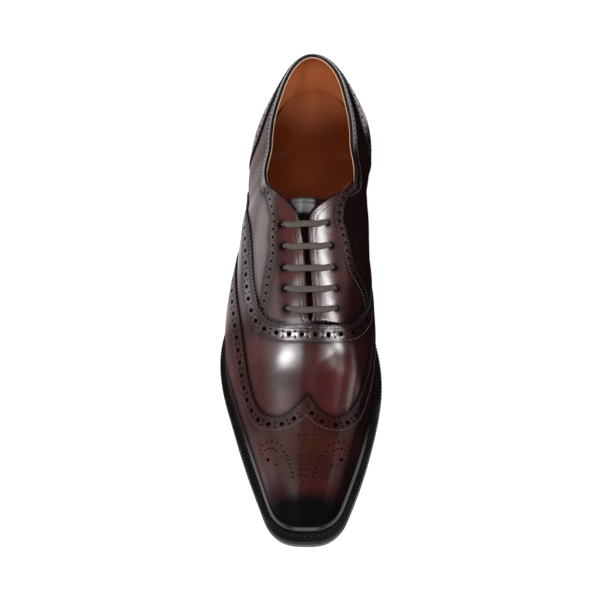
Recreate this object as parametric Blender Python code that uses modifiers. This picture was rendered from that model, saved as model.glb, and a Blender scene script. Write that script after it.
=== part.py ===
"""Wingtip oxford, the right shoe of a pair, standing empty on its heel and forefoot.

Sizes are in millimetres and become metres when a mesh is made. A station is measured from the back of
the heel towards the toe. In the finished frame the toe points to -Y, the wearer's inner (medial) side
is +X, and the floor is Z = 0.
"""

import bmesh
import bpy
import numpy as np

MM = 0.001
MERGE = 0.000002
SHARP_ANGLE = np.radians(35)

# Whole shoe
SHOE_LENGTH = 314.0
MID_STATION = 156.87
MID_X = -5.19
GAP = 0.3
LATERAL, MEDIAL = -1, 1

# Sole, welt and heel
SOLE_THICK = 5.0
WELT_THICK = 3.0
WELT_SETBACK = 0.4
WELT_UNDER_UPPER = 2.6
INSOLE_THICK = 3.6
HEEL_HEIGHT = 24.0
TOP_PIECE_THICK = 6.0
HEEL_TAPER = 0.95
HEEL_AXIS = 55.0
HEEL_BACK = 3.5
BREAST = 62.0
BREAST_BLEND = 6.0
TREAD_REAR, TREAD_FRONT = 168.0, 220.0
TOE_SPRING = 10.0
SOLE_TOE_RUN = 20.0

# Last: the form that the upper is pulled over
LAST_TIP = 303.2
PATH_BACK = -17.0
HEEL_STRETCH = 55.0 / 36.0
TOE_WIDTH_RUN, TOE_WIDTH_POWER = 15.0, 3.0
TOE_HEIGHT_RUN, TOE_HEIGHT_POWER = 26.0, 2.4

# Upper and what is sewn on it
UPPER_WALL = 1.8
SLIT_HALF = 1.4
SLIT_ROUND, SLIT_END = 180.0, 189.0
THROAT_END = 133.0
OVERLAY_GAP = 0.45
OVERLAY_THICK = 0.8
WING_LEVEL = 1.85
WING_THICK = 0.8
WELT_EDGE_ROW = 0.03
VAMP_UNDERLAP = 1.16
BAND_ROW = 0.92
BAND_END = 106.0
TONGUE_TOP, TONGUE_END = 113.0, 197.0
TONGUE_EDGE_ROW = 0.7
TONGUE_LEVEL = -2.5
TONGUE_THICK = 1.8
LACE_RADIUS = 1.2

# How finely the surfaces are divided
HEEL_STEPS, LENGTH_STEPS, TOE_STEPS = 10, 23, 7
WALL_STEPS = 9
TONGUE_STEPS, TONGUE_ROWS = 11, 4
PANEL_STEPS = 24
VAMP_STEPS = 6
WING_STEPS, WING_TOE_STEPS = 5, 5
COUNTER_STEPS = 6
EYESTAY_STEPS = 5
BAND_STEPS = 7
LACE_STEPS = 3
SEARCH_STEPS = 800
PATH_NUDGE, ROW_NUDGE = 0.01, 0.002
PATH_END = 0.001

# Extra stops along the path: round the tops of the facings, at the slit's end and at the counter's front
FACING_STOPS = (107.0, 113.0, 119.0, 124.0, 128.5, 131.5, THROAT_END, 136.0)
SLIT_STOPS = (SLIT_ROUND, 185.0, 188.0, SLIT_END)
STOP_SPACE = 2.5
COUNTER_STOPS = (59.0, 62.5, 65.5, 68.0, 70.5, 73.0)
EYESTAY_STOPS = (
    107.0, 110.0, 113.0, 116.0, 119.0, 122.0, 125.0, 128.5, 131.5, THROAT_END,
    139.0, 146.0, 153.0, 160.0, 167.0, 174.0, SLIT_ROUND, 184.0, 187.0, 188.4,
)

# Sole outline: half-widths each side of the long axis
SOLE_COLUMNS = ("station", "lateral", "medial")
SOLE_ROWS = (
    (0, 33.0, 33.0),
    (30, 33.0, 33.0),
    (55, 33.2, 32.6),
    (85, 34.2, 29.8),
    (110, 37.6, 28.6),
    (135, 44.2, 31.6),
    (155, 50.6, 36.6),
    (172, 54.8, 41.2),
    (187, 55.9, 44.2),
    (200, 54.8, 45.4),
    (212, 52.4, 45.2),
    (225, 48.7, 43.6),
    (240, 44.4, 40.8),
    (265, 36.7, 34.9),
    (290, 28.0, 27.3),
    (314, 19.4, 18.8),
)

# Last sections along the path from the back of the heel (-17), round its side (55), to the toe
LAST_COLUMNS = (
    "path", "feather_lat", "feather_med", "side_lat", "side_med", "side_rise",
    "shoulder_lat", "shoulder_med", "shoulder_z", "crown", "ridge_x", "ridge_z",
)
LAST_ROWS = (
    (-17, 31.4, 31.4, 33.2, 33.2, 18, 30.0, 30.0, 89.0, 12.0, 0.0, 118.0),
    (10, 30.4, 31.2, 32.4, 34.2, 18, 26.2, 28.0, 86.7, 12.0, 0.8, 118.0),
    (32, 30.2, 31.0, 33.8, 36.2, 18, 23.4, 24.8, 83.2, 12.0, 0.5, 117.0),
    (55, 30.8, 30.2, 36.6, 37.0, 19, 24.6, 25.4, 79.0, 12.0, 0.0, 115.0),
    (80, 30.8, 27.2, 39.4, 36.2, 21, 27.0, 28.0, 77.2, 13.0, -1.0, 111.0),
    (105, 34.0, 25.6, 38.8, 33.0, 25, 26.4, 27.4, 88.0, 14.0, -2.5, 104.5),
    (125, 37.6, 26.0, 40.6, 33.2, 26, 25.4, 24.0, 86.0, 14.5, -3.5, 97.5),
    (145, 42.2, 29.4, 44.4, 35.0, 24, 28.0, 25.0, 77.0, 15.0, -1.2, 88.5),
    (165, 46.4, 33.4, 48.8, 36.8, 20, 32.0, 27.5, 68.0, 16.0, 0.5, 79.5),
    (188, 48.0, 36.4, 49.2, 38.2, 15, 34.0, 30.0, 59.0, 17.0, 2.0, 69.5),
    (210, 44.2, 37.0, 44.6, 37.8, 13, 34.0, 30.5, 51.0, 17.0, 2.0, 60.0),
    (230, 38.4, 34.4, 38.6, 34.8, 12, 32.0, 28.5, 44.0, 16.0, 1.0, 52.3),
    (250, 32.0, 30.4, 32.2, 30.6, 11, 28.2, 26.2, 38.5, 14.0, 0.0, 46.3),
    (270, 25.7, 25.1, 25.8, 25.2, 10, 23.4, 22.8, 34.0, 12.0, -1.0, 41.6),
    (290, 19.3, 18.9, 19.4, 19.0, 9, 18.0, 17.6, 31.0, 9.5, -1.5, 38.4),
    (306, 14.0, 13.6, 14.0, 13.6, 7, 13.0, 12.6, 29.5, 7.0, -1.5, 36.4),
)

# Side view of the collar and of the rounded tops of the facings: station and height
TOPLINE_ROWS = (
    (0, 91.0), (9, 89.0), (30, 84.5), (55, 79.0), (76, 76.8), (92, 80.5),
    (104, 88.5), (113, 94.3), (120, 96.2), (127, 95.8), (133, 93.6),
)

# Panel edges on the last, from the middle of the vamp round to the heel. Each line gives matching points
# of the vamp's edge, the wing cap's edge and the wing cap's rim, as path and row from feather to ridge
PANEL_COLUMNS = ("vamp_path", "vamp_row", "wing_path", "wing_row", "rim_path", "rim_row")
PANEL_ROWS = {
    LATERAL: (
        (190.5, 1.0, 231.8, 1.0, 303.2, 1.0),
        (190.2, 0.92, 237.0, 0.88, 303.2, 0.8),
        (190.0, 0.86, 242.6, 0.77, 303.2, 0.58),
        (189.3, 0.8, 244.0, 0.69, 303.2, 0.33),
        (187.5, 0.745, 240.0, 0.585, 303.2, 0.03),
        (184.5, 0.7, 228.0, 0.51, 300.5, 0.03),
        (178.0, 0.665, 212.0, 0.5, 284.0, 0.03),
        (166.0, 0.643, 190.0, 0.507, 250.0, 0.03),
        (146.0, 0.63, 163.0, 0.485, 208.0, 0.03),
        (124.0, 0.6, 138.0, 0.41, 168.0, 0.03),
        (105.0, 0.45, 118.0, 0.27, 140.0, 0.03),
        (88.0, 0.23, 104.0, 0.12, 118.0, 0.03),
        (78.0, 0.06, 96.0, 0.05, 100.0, 0.03),
    ),
    MEDIAL: (
        (190.5, 1.0, 231.8, 1.0, 303.2, 1.0),
        (190.2, 0.92, 237.6, 0.89, 303.2, 0.8),
        (190.0, 0.85, 242.4, 0.79, 303.2, 0.58),
        (189.0, 0.79, 243.6, 0.71, 303.2, 0.33),
        (187.0, 0.71, 240.0, 0.62, 303.2, 0.03),
        (183.0, 0.65, 230.5, 0.51, 300.5, 0.03),
        (176.0, 0.585, 213.0, 0.448, 284.0, 0.03),
        (163.0, 0.485, 190.0, 0.44, 250.0, 0.03),
        (145.0, 0.4, 157.0, 0.36, 208.0, 0.03),
        (126.0, 0.33, 134.0, 0.255, 168.0, 0.03),
        (108.0, 0.26, 116.0, 0.16, 140.0, 0.03),
        (92.0, 0.17, 104.0, 0.09, 118.0, 0.03),
        (80.0, 0.06, 96.0, 0.05, 100.0, 0.03),
    ),
}

# Counter: path, and its upper edge there as a share of the wall's height
COUNTER_EDGE = (
    (-17, 0.89), (5, 0.88), (22, 0.84), (38, 0.79), (50, 0.74), (58, 0.63), (66, 0.42), (74, 0.1),
)

# Eyestay: path, and its lower edge there as a share of the wall's height
EYESTAY_EDGE = {
    LATERAL: (
        (107, 0.94), (114, 0.89), (122, 0.845), (134, 0.79), (147, 0.755), (158, 0.725), (168, 0.705),
        (178, 0.715), (184, 0.755), (187, 0.83), (188.4, 0.95),
    ),
    MEDIAL: (
        (107, 0.95), (114, 0.91), (122, 0.85), (134, 0.745), (147, 0.67), (158, 0.615), (168, 0.61),
        (178, 0.66), (184, 0.73), (187, 0.82), (188.4, 0.95),
    ),
}

# Lace bars: lateral path, lateral row, medial path, medial row of the ends
LACE_ROWS = (
    (132.6, 0.84, 131.6, 0.83),
    (145.0, 0.835, 144.2, 0.82),
    (157.4, 0.828, 156.4, 0.808),
    (169.4, 0.826, 168.2, 0.796),
    (181.0, 0.828, 180.0, 0.797),
)

# Colour, roughness and metallic value of each finish
FINISHES = {
    "burgundy": ((0.062, 0.017, 0.019, 1.0), 0.22, 0.0),
    "black_edge": ((0.006, 0.005, 0.005, 1.0), 0.35, 0.0),
    "rubber": ((0.010, 0.010, 0.010, 1.0), 0.7, 0.0),
    "tan": ((0.30, 0.10, 0.03, 1.0), 0.5, 0.0),
    "cord": ((0.10, 0.08, 0.07, 1.0), 0.8, 0.0),
}


def spline(rows, column=1, level_start=False):
    """A smooth curve through one column of a table, held past its ends. It may also start level."""
    table = np.asarray(rows, float)
    at, value = table[:, 0], table[:, column]
    step = np.diff(at)
    count = len(at)
    matrix = np.eye(count)
    right = np.zeros(count)
    for i in range(1, count - 1):
        matrix[i, i - 1:i + 2] = step[i - 1], 2 * (step[i - 1] + step[i]), step[i]
        right[i] = 6 * ((value[i + 1] - value[i]) / step[i] - (value[i] - value[i - 1]) / step[i - 1])
    if level_start:
        matrix[0, :2] = 2 * step[0], step[0]
        right[0] = 6 * (value[1] - value[0]) / step[0]
    bend = np.linalg.solve(matrix, right)

    def curve(x):
        x = np.clip(np.asarray(x, float), at[0], at[-1])
        k = np.clip(np.searchsorted(at, x) - 1, 0, count - 2)
        left, ahead, width = x - at[k], at[k + 1] - x, step[k]
        cubic = (bend[k] * ahead**3 + bend[k + 1] * left**3) / (6 * width)
        start = (value[k] / width - bend[k] * width / 6) * ahead
        return cubic + start + (value[k + 1] / width - bend[k + 1] * width / 6) * left

    return curve


def panel_edge(name, side, along):
    """Path and row of a named panel edge, for places from 0 (middle) to 1 (heel end)."""
    rows = np.asarray(PANEL_ROWS[side], float)
    numbered = np.column_stack([np.linspace(0, 1, len(rows)), rows])
    column = 1 + PANEL_COLUMNS.index(name + "_path")
    return spline(numbered, column)(along), np.clip(spline(numbered, column + 1)(along), WELT_EDGE_ROW, 1)


def smooth(t):
    t = np.clip(t, 0, 1)
    return t**3 * (10 - 15 * t + 6 * t * t)


def closing(run, power):
    """Goes from 1 to 0 as run goes from 0 to 1, like a quarter of a rounded square."""
    return (1 - np.clip(run, 0, 1)**power)**(1 / power)


def tread(station):
    """Height of the outsole's underside: heel seat, arch, flat forefoot and toe spring."""
    station = np.asarray(station, float)
    spring = np.clip((station - TREAD_FRONT) / (SHOE_LENGTH - TREAD_FRONT), 0, None)
    climb = (TREAD_REAR - station) / (TREAD_REAR - BREAST + BREAST_BLEND)
    return TOE_SPRING * spring**2 + HEEL_HEIGHT * smooth(climb)


SOLE_HALF = {
    LATERAL: spline(SOLE_ROWS, SOLE_COLUMNS.index("lateral")),
    MEDIAL: spline(SOLE_ROWS, SOLE_COLUMNS.index("medial")),
}
LAST = {name: spline(LAST_ROWS, i, level_start=True) for i, name in enumerate(LAST_COLUMNS) if i > 0}
TOPLINE = spline(TOPLINE_ROWS)
FEATHER_RISE = SOLE_THICK + WELT_THICK + 2 * GAP
FAN = (HEEL_AXIS - PATH_BACK) / (np.pi / 2)


def quartic(t):
    u = 1 - t
    return u**4, 4 * t * u**3, 6 * t * t * u * u, 4 * t**3 * u, t**4


def inner_handles(feather, side, shoulder, crown, ridge, at_side, at_shoulder):
    """The two middle handles that make a quartic pass through the side and the shoulder."""
    a, b = quartic(at_side), quartic(at_shoulder)
    low = side - a[0] * feather - a[3] * crown - a[4] * ridge
    high = shoulder - b[0] * feather - b[3] * crown - b[4] * ridge
    scale = a[1] * b[2] - a[2] * b[1]
    return (low * b[2] - high * a[2]) / scale, (a[1] * high - b[1] * low) / scale


def last_point(path, row, side):
    """Point of the last: x, station and height. Sections fan round the heel behind its axis."""
    path, row = np.broadcast_arrays(np.asarray(path, float), np.asarray(row, float))
    name = "lat" if side == LATERAL else "med"
    feather, flank = LAST["feather_" + name](path), LAST["side_" + name](path)
    shoulder, shoulder_z = LAST["shoulder_" + name](path), LAST["shoulder_z"](path)
    turn = np.clip((HEEL_AXIS - path) / FAN, 0, np.pi / 2)
    ridge = LAST["ridge_x"](path) * side * np.cos(turn)
    crown = ridge + LAST["crown"](path)
    in_fan = path < HEEL_AXIS
    feather_station = np.where(in_fan, HEEL_AXIS - HEEL_STRETCH * feather * np.sin(turn), path)
    feather_z = tread(feather_station) + FEATHER_RISE
    rise = LAST["side_rise"](path)
    top = LAST["ridge_z"](path) - feather_z
    knee = shoulder_z - feather_z

    lower = np.hypot(flank - feather, rise)
    middle = np.hypot(shoulder - flank, knee - rise)
    whole = lower + middle + np.hypot(shoulder - ridge, top - knee)
    at_side, at_shoulder = lower / whole, (lower + middle) / whole
    out_low, out_high = inner_handles(feather, flank, shoulder, crown, ridge, at_side, at_shoulder)
    up_low, up_high = inner_handles(0, rise, knee, top, top, at_side, at_shoulder)

    b = quartic(row)
    reach = b[0] * feather + b[1] * out_low + b[2] * out_high + b[3] * crown + b[4] * ridge
    height = b[1] * up_low + b[2] * up_high + (b[3] + b[4]) * top
    reach = reach * closing((path - LAST_TIP) / TOE_WIDTH_RUN + 1, TOE_WIDTH_POWER)
    height = height * closing((path - LAST_TIP) / TOE_HEIGHT_RUN + 1, TOE_HEIGHT_POWER)
    station = np.where(in_fan, HEEL_AXIS - HEEL_STRETCH * reach * np.sin(turn), path)
    return np.stack([side * reach * np.cos(turn), station, feather_z + height], axis=-1)


def last_normal(path, row, side):
    """Outward unit normal of the last, equal for both sides at the back, the ridge and the toe's pole."""
    path, row = np.broadcast_arrays(np.asarray(path, float), np.asarray(row, float))
    far = np.clip(path + PATH_NUDGE, None, LAST_TIP - PATH_END)
    near = np.minimum(np.clip(path - PATH_NUDGE, PATH_BACK, None), far - PATH_NUDGE / 2)
    low, high = np.clip(row - ROW_NUDGE, 0, 1), np.clip(row + ROW_NUDGE, 0, 1)
    along = last_point(far, row, side) - last_point(near, row, side)
    across = last_point(np.minimum(path, far), high, side) - last_point(np.minimum(path, far), low, side)
    across = np.where((row > 1 - PATH_END)[..., None], (-side, 0.0, 0.0), across)
    along = np.where((path < PATH_BACK + PATH_END)[..., None], (side, 0.0, 0.0), along)
    normal = np.cross(along, across) * side
    normal = normal / np.linalg.norm(normal, axis=-1, keepdims=True)
    return np.where((path > LAST_TIP - PATH_END)[..., None], (0.0, 1.0, 0.0), normal)


def lifted(path, row, side, level):
    """Point at a level above the last's surface, or under it where the level is negative."""
    return last_point(path, row, side) + level * last_normal(path, row, side)


def top_row(path, side):
    """Highest row of the upper's wall: under the topline, and clear of the lacing slit."""
    rows = np.linspace(0, 1, SEARCH_STEPS + 1)
    x, station, height = last_point(path, rows, side).T
    taper = np.clip((path - SLIT_ROUND) / (SLIT_END - SLIT_ROUND), 0, 1)
    spare = np.abs(x - x[-1]) - SLIT_HALF * np.sqrt(1 - taper**2)
    if path < THROAT_END:
        spare = TOPLINE(station) - height
    if path >= SLIT_END:
        return 1.0
    over = np.argmax(spare < 0)
    share = spare[over - 1] / (spare[over - 1] - spare[over])
    return rows[over - 1] + share * (rows[over] - rows[over - 1])


def toe_rounding(steps):
    """Shares of a run that ends in a rounded toe, closer together towards its end."""
    return np.sin(np.linspace(0, np.pi / 2, steps + 1)[1:])**(2 / TOE_WIDTH_POWER)


def path_nodes():
    """Matching stops along the last's path and along the sole's outline, from heel to toe."""
    fan = np.linspace(PATH_BACK, HEEL_AXIS, HEEL_STEPS + 1)
    straight = np.linspace(0, 1, LENGTH_STEPS + 1)[1:]
    rounding = toe_rounding(TOE_STEPS)
    last_toe, sole_toe = LAST_TIP - TOE_WIDTH_RUN, SHOE_LENGTH - SOLE_TOE_RUN
    on_last = [fan, HEEL_AXIS + straight * (last_toe - HEEL_AXIS), last_toe + rounding * TOE_WIDTH_RUN]
    on_sole = [fan, HEEL_AXIS + straight * (sole_toe - HEEL_AXIS), sole_toe + rounding * SOLE_TOE_RUN]
    return np.concatenate(on_last), np.concatenate(on_sole)


def sole_edge(nodes, side, setback=0.0):
    """Outline of the sole: x and station at each node."""
    turn = np.clip((HEEL_AXIS - nodes) / FAN, 0, np.pi / 2)
    half = SOLE_HALF[side](nodes) * closing((nodes - SHOE_LENGTH) / SOLE_TOE_RUN + 1, TOE_WIDTH_POWER)
    half = np.clip(half - setback, 0, None)
    reach = (HEEL_AXIS - HEEL_BACK - setback) * np.sin(turn)
    ahead = np.where(nodes > SHOE_LENGTH - SOLE_TOE_RUN, nodes - setback, nodes)
    return side * half * np.cos(turn), np.where(nodes < HEEL_AXIS, HEEL_AXIS - reach, ahead)


def feather_edge(nodes, side, inset):
    """Outline set inside the upper's bottom edge: x and station at each node."""
    normal = last_normal(nodes, 0.0, side) * (1, 1, 0)
    normal = normal / np.linalg.norm(normal, axis=-1, keepdims=True)
    point = last_point(nodes, 0.0, side) - inset * normal
    return point[:, 0], point[:, 1]


def in_frame(points):
    """Millimetre points (x, station, height) as metres in the finished frame."""
    x, station, height = np.moveaxis(np.asarray(points, float), -1, 0)
    return np.stack([x - MID_X, MID_STATION - station, height], axis=-1) * MM


def finish(name):
    colour, roughness, metallic = FINISHES[name]
    material = bpy.data.materials.new(name)
    material.use_nodes = True
    shader = material.node_tree.nodes["Principled BSDF"]
    shader.inputs["Base Color"].default_value = colour
    shader.inputs["Roughness"].default_value = roughness
    shader.inputs["Metallic"].default_value = metallic
    return material


def add_object(name, data, finish_name, collection):
    data.materials.append(finish(finish_name))
    piece = bpy.data.objects.new(name, data)
    collection.objects.link(piece)
    return piece


def mesh_of(name, points, faces):
    """Mesh with equal points merged and, where it is closed, its faces pointing out."""
    mesh = bpy.data.meshes.new(name)
    mesh.from_pydata(in_frame(points).tolist(), [], faces)
    work = bmesh.new()
    work.from_mesh(mesh)
    bmesh.ops.remove_doubles(work, verts=work.verts, dist=MERGE)
    bmesh.ops.recalc_face_normals(work, faces=work.faces)
    work.to_mesh(mesh)
    work.free()
    mesh.shade_smooth()
    mesh.set_sharp_from_angle(angle=SHARP_ANGLE)
    return mesh


def strips(shape, start=0):
    """Four-sided faces of a grid of points with that shape, numbered from start."""
    index = np.arange(shape[0] * shape[1]).reshape(shape) + start
    corners = index[:-1, :-1], index[1:, :-1], index[1:, 1:], index[:-1, 1:]
    return np.stack([corner.ravel() for corner in corners], axis=1).tolist()


def loft(name, rings, finish_name, collection, front_cap=False):
    """Closed solid through rings of points, the last ring joined to the first."""
    rings = np.asarray(rings, float)
    closed = np.concatenate([rings, rings[:1]])
    count, length = closed.shape[:2]
    faces = strips((count, length))
    if front_cap:
        faces.append([ring * length + length - 1 for ring in range(count - 1)])
    return add_object(name, mesh_of(name, closed.reshape(-1, 3), faces), finish_name, collection)


def skin(name, grids, thickness, finish_name, collection):
    """Sheet of leather: open grids joined into one surface, thickened by Solidify.

    A positive thickness grows away from the foot, and a negative one towards it.
    """
    faces, points = [], []
    for grid in grids:
        faces += strips(grid.shape[:2], sum(len(part) for part in points))
        points.append(grid.reshape(-1, 3))
    mesh = mesh_of(name, np.concatenate(points), faces)
    core = in_frame((0.0, MID_STATION, HEEL_HEIGHT))
    outward = sum(
        face.area * np.dot(face.normal, (face.center[0] - core[0], 0, face.center[2] - core[2]))
        for face in mesh.polygons
    )
    if outward < 0:
        mesh.flip_normals()
    piece = add_object(name, mesh, finish_name, collection)
    solidify = piece.modifiers.new("thickness", "SOLIDIFY")
    solidify.thickness = abs(thickness) * MM
    solidify.offset = np.sign(thickness)
    return piece


def sole_slab(name, edges, bottom, top, finish_name, collection):
    """Solid between two levels above the tread, over an outline from the back to the front."""
    rings = []
    for side, level in ((LATERAL, bottom), (MEDIAL, bottom), (MEDIAL, top), (LATERAL, top)):
        x, station = edges[side]
        rings.append(np.stack([x, station, tread(station) + level], axis=-1))
    loft(name, rings, finish_name, collection)


def make_sole(collection):
    """Outsole, heel lifts and heel top piece."""
    sole_nodes = path_nodes()[1]
    edges = {side: sole_edge(sole_nodes, side) for side in (LATERAL, MEDIAL)}
    sole_slab("outsole", edges, 0.0, SOLE_THICK, "black_edge", collection)

    seat = np.append(sole_nodes[sole_nodes <= HEEL_AXIS], BREAST)
    edges = {side: sole_edge(seat, side) for side in (LATERAL, MEDIAL)}
    heel_solid("heel_stack", edges, TOP_PIECE_THICK + GAP, HEEL_HEIGHT, "black_edge", collection)
    heel_solid("heel_top_piece", edges, 0.0, TOP_PIECE_THICK, "rubber", collection)


def heel_solid(name, edges, bottom, top, finish_name, collection):
    """One level of the heel, its outline shrinking downwards, and its top never above the outsole."""
    rings = []
    for side, level in ((LATERAL, bottom), (MEDIAL, bottom), (MEDIAL, top), (LATERAL, top)):
        x, station = edges[side]
        scale = 1 - (1 - HEEL_TAPER) * (1 - level / HEEL_HEIGHT)
        height = np.minimum(level, tread(station) - GAP)
        rings.append(np.stack([x * scale, BREAST + (station - BREAST) * scale, height], axis=-1))
    loft(name, rings, finish_name, collection, front_cap=True)


def make_welt_and_insole(collection):
    """Welt ring that the upper stands on, and the insole inside it, both on the outsole."""
    last_nodes, sole_nodes = path_nodes()
    low, high = SOLE_THICK + GAP, SOLE_THICK + GAP + WELT_THICK
    rings = []
    for inner, rise in ((False, low), (False, high), (True, high), (True, low)):
        ring = []
        for side in (LATERAL, MEDIAL):
            x, station = sole_edge(sole_nodes, side, WELT_SETBACK)
            if inner:
                x, station = feather_edge(last_nodes, side, WELT_UNDER_UPPER)
            line = np.stack([x, station, tread(station) + rise], axis=-1)
            ring.append(line if side == LATERAL else line[::-1])
        rings.append(np.concatenate(ring))
    loft("welt", rings, "black_edge", collection)

    inset = WELT_UNDER_UPPER + GAP
    edges = {side: feather_edge(last_nodes, side, inset) for side in (LATERAL, MEDIAL)}
    sole_slab("insole", edges, low, low + INSOLE_THICK, "tan", collection)


def make_upper(collection):
    """Hollow upper: one wall, open underneath, at the collar and along the lacing slit."""
    nodes, stops = path_nodes()[0], np.array(FACING_STOPS + SLIT_STOPS)
    apart = np.array([np.abs(stops - node).min() > STOP_SPACE for node in nodes])
    nodes = np.sort(np.concatenate([nodes[apart], stops]))
    shares = np.linspace(0, 1, WALL_STEPS + 1)
    grids = []
    for side in (LATERAL, MEDIAL):
        tops = np.array([top_row(path, side) for path in nodes])
        grids.append(lifted(nodes[None, :], shares[:, None] * tops[None, :], side, 0.0))
    skin("upper", grids, -UPPER_WALL, "burgundy", collection)


def make_tongue(collection):
    """Tongue under the facings, from just above their tops to under the vamp."""
    paths = np.linspace(TONGUE_TOP, TONGUE_END, TONGUE_STEPS + 1)
    rows = np.linspace(TONGUE_EDGE_ROW, 1, TONGUE_ROWS + 1)
    grids = [lifted(paths[None, :], rows[:, None], side, TONGUE_LEVEL) for side in (LATERAL, MEDIAL)]
    skin("tongue", grids, -TONGUE_THICK, "burgundy", collection)


def ruled(from_edge, to_edge, side, level, across):
    """Grid on the last between two edges, each given as path and row arrays of equal length."""
    across = np.asarray(across)[:, None]
    path = from_edge[0] + across * (to_edge[0] - from_edge[0])
    row = from_edge[1] + across * (to_edge[1] - from_edge[1])
    return lifted(path, np.clip(row, WELT_EDGE_ROW, 1), side, level)


def make_vamp(collection):
    """Vamp: from the curved edge over the quarters to a little way under the wing cap."""
    along = np.linspace(0, 1, PANEL_STEPS + 1)
    grids = []
    for side in (LATERAL, MEDIAL):
        edge, under = panel_edge("vamp", side, along), panel_edge("wing", side, along)
        across = np.linspace(0, VAMP_UNDERLAP, VAMP_STEPS + 1)
        grids.append(ruled(edge, under, side, OVERLAY_GAP, across))
    skin("vamp", grids, OVERLAY_THICK, "burgundy", collection)


def make_wing_cap(collection):
    """Wing cap: from its W-shaped edge to the welt, closing over the toe."""
    along = np.linspace(0, 1, PANEL_STEPS + 1)
    peak = PANEL_ROWS[LATERAL][0][PANEL_COLUMNS.index("wing_path")]
    toe_share = 1 - TOE_WIDTH_RUN / (LAST_TIP - peak)
    plain = np.linspace(0, toe_share, WING_STEPS + 1)
    across = np.concatenate([plain, toe_share + toe_rounding(WING_TOE_STEPS) * (1 - toe_share)])
    grids = []
    for side in (LATERAL, MEDIAL):
        edge, rim = panel_edge("wing", side, along), panel_edge("rim", side, along)
        rim = np.minimum(rim[0], LAST_TIP), rim[1]
        grid = ruled(edge, rim, side, WING_LEVEL, across)
        grid[..., 2] = np.maximum(grid[..., 2], tread(grid[..., 1]) + FEATHER_RISE + 2 * GAP)
        grids.append(grid)
    skin("wing_cap", grids, WING_THICK, "burgundy", collection)


def wall_patch(paths, upper_shares, lower_shares, side, steps):
    """Grid between two shares of the wall's height, from path to path."""
    tops = np.array([top_row(path, side) for path in paths])
    across = np.linspace(0, 1, steps + 1)[:, None]
    shares = upper_shares + across * (lower_shares - upper_shares)
    return lifted(np.broadcast_to(paths, shares.shape), shares * tops, side, OVERLAY_GAP)


def make_counter(collection):
    """Counter round the heel, from the welt to under the collar band."""
    paths = np.concatenate([np.linspace(PATH_BACK, HEEL_AXIS, HEEL_STEPS + 1), COUNTER_STOPS])
    edge = spline(COUNTER_EDGE)(paths)
    low = np.full_like(paths, WELT_EDGE_ROW)
    grids = [wall_patch(paths, edge, low, side, COUNTER_STEPS) for side in (LATERAL, MEDIAL)]
    skin("counter", grids, OVERLAY_THICK, "burgundy", collection)


def make_collar_band(collection):
    """Narrow band along the collar, round the back from one eyestay to the other."""
    heel = np.linspace(PATH_BACK, HEEL_AXIS, HEEL_STEPS + 1)
    paths = np.concatenate([heel, np.linspace(HEEL_AXIS, BAND_END, BAND_STEPS + 1)[1:]])
    grids = []
    for side in (LATERAL, MEDIAL):
        whole, low = np.ones_like(paths), np.full_like(paths, BAND_ROW)
        grids.append(wall_patch(paths, whole, low, side, 1))
    skin("collar_band", grids, OVERLAY_THICK, "burgundy", collection)


def make_eyestays(collection):
    """Facing reinforcement along each side of the lacing slit."""
    paths = np.array(EYESTAY_STOPS)
    for side, name in ((LATERAL, "eyestay_lateral"), (MEDIAL, "eyestay_medial")):
        edge = spline(EYESTAY_EDGE[side])(paths)
        grid = wall_patch(paths, np.ones_like(paths), edge, side, EYESTAY_STEPS)
        skin(name, [grid], OVERLAY_THICK, "burgundy", collection)


def make_lace(collection):
    """Straight lace bars across the slit, lying on the eyestays from eyelet to eyelet."""
    level = OVERLAY_GAP + OVERLAY_THICK + GAP + LACE_RADIUS
    half = np.linspace(0, 1, LACE_STEPS + 1)
    for number, (lat_path, lat_row, med_path, med_row) in enumerate(LACE_ROWS, 1):
        middle = (lat_path + med_path) / 2
        ends = ((lat_path, lat_row, LATERAL), (med_path, med_row, MEDIAL))
        lateral, medial = (
            lifted(path + half * (middle - path), row + half * (1 - row), side, level)
            for path, row, side in ends
        )
        route = np.concatenate([lateral, medial[-2::-1]])
        curve = bpy.data.curves.new("lace_bar_%d" % number, "CURVE")
        curve.dimensions = "3D"
        curve.bevel_depth = LACE_RADIUS * MM
        curve.bevel_resolution = 2
        curve.use_fill_caps = True
        line = curve.splines.new("POLY")
        line.points.add(len(route) - 1)
        for point, place in zip(line.points, in_frame(route)):
            point.co = (*place, 1.0)
        add_object("lace_bar_%d" % number, curve, "cord", collection)


def main():
    for item in list(bpy.data.objects):
        bpy.data.objects.remove(item, do_unlink=True)
    shoe = bpy.data.collections.new("wingtip_oxford")
    bpy.context.scene.collection.children.link(shoe)
    make_sole(shoe)
    make_welt_and_insole(shoe)
    make_upper(shoe)
    make_tongue(shoe)
    make_vamp(shoe)
    make_wing_cap(shoe)
    make_counter(shoe)
    make_collar_band(shoe)
    make_eyestays(shoe)
    make_lace(shoe)


main()
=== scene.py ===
# %% [markdown]
# # A wingtip oxford, dressed piece by piece
#
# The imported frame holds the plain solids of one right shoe: sole, welt, heel, insole, a hollow upper,
# the panels sewn on it and the bars of its lace. This lesson gives every solid its finished piece:
# leather cut to a pattern, punched, pinked and sewn, a welt with its stitches, a lining and a lace.
# Each piece stays in the place of the solid that it stands for.

import bpy
import numpy as np
from mathutils import Matrix, Vector, kdtree
from mathutils.geometry import delaunay_2d_cdt


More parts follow.
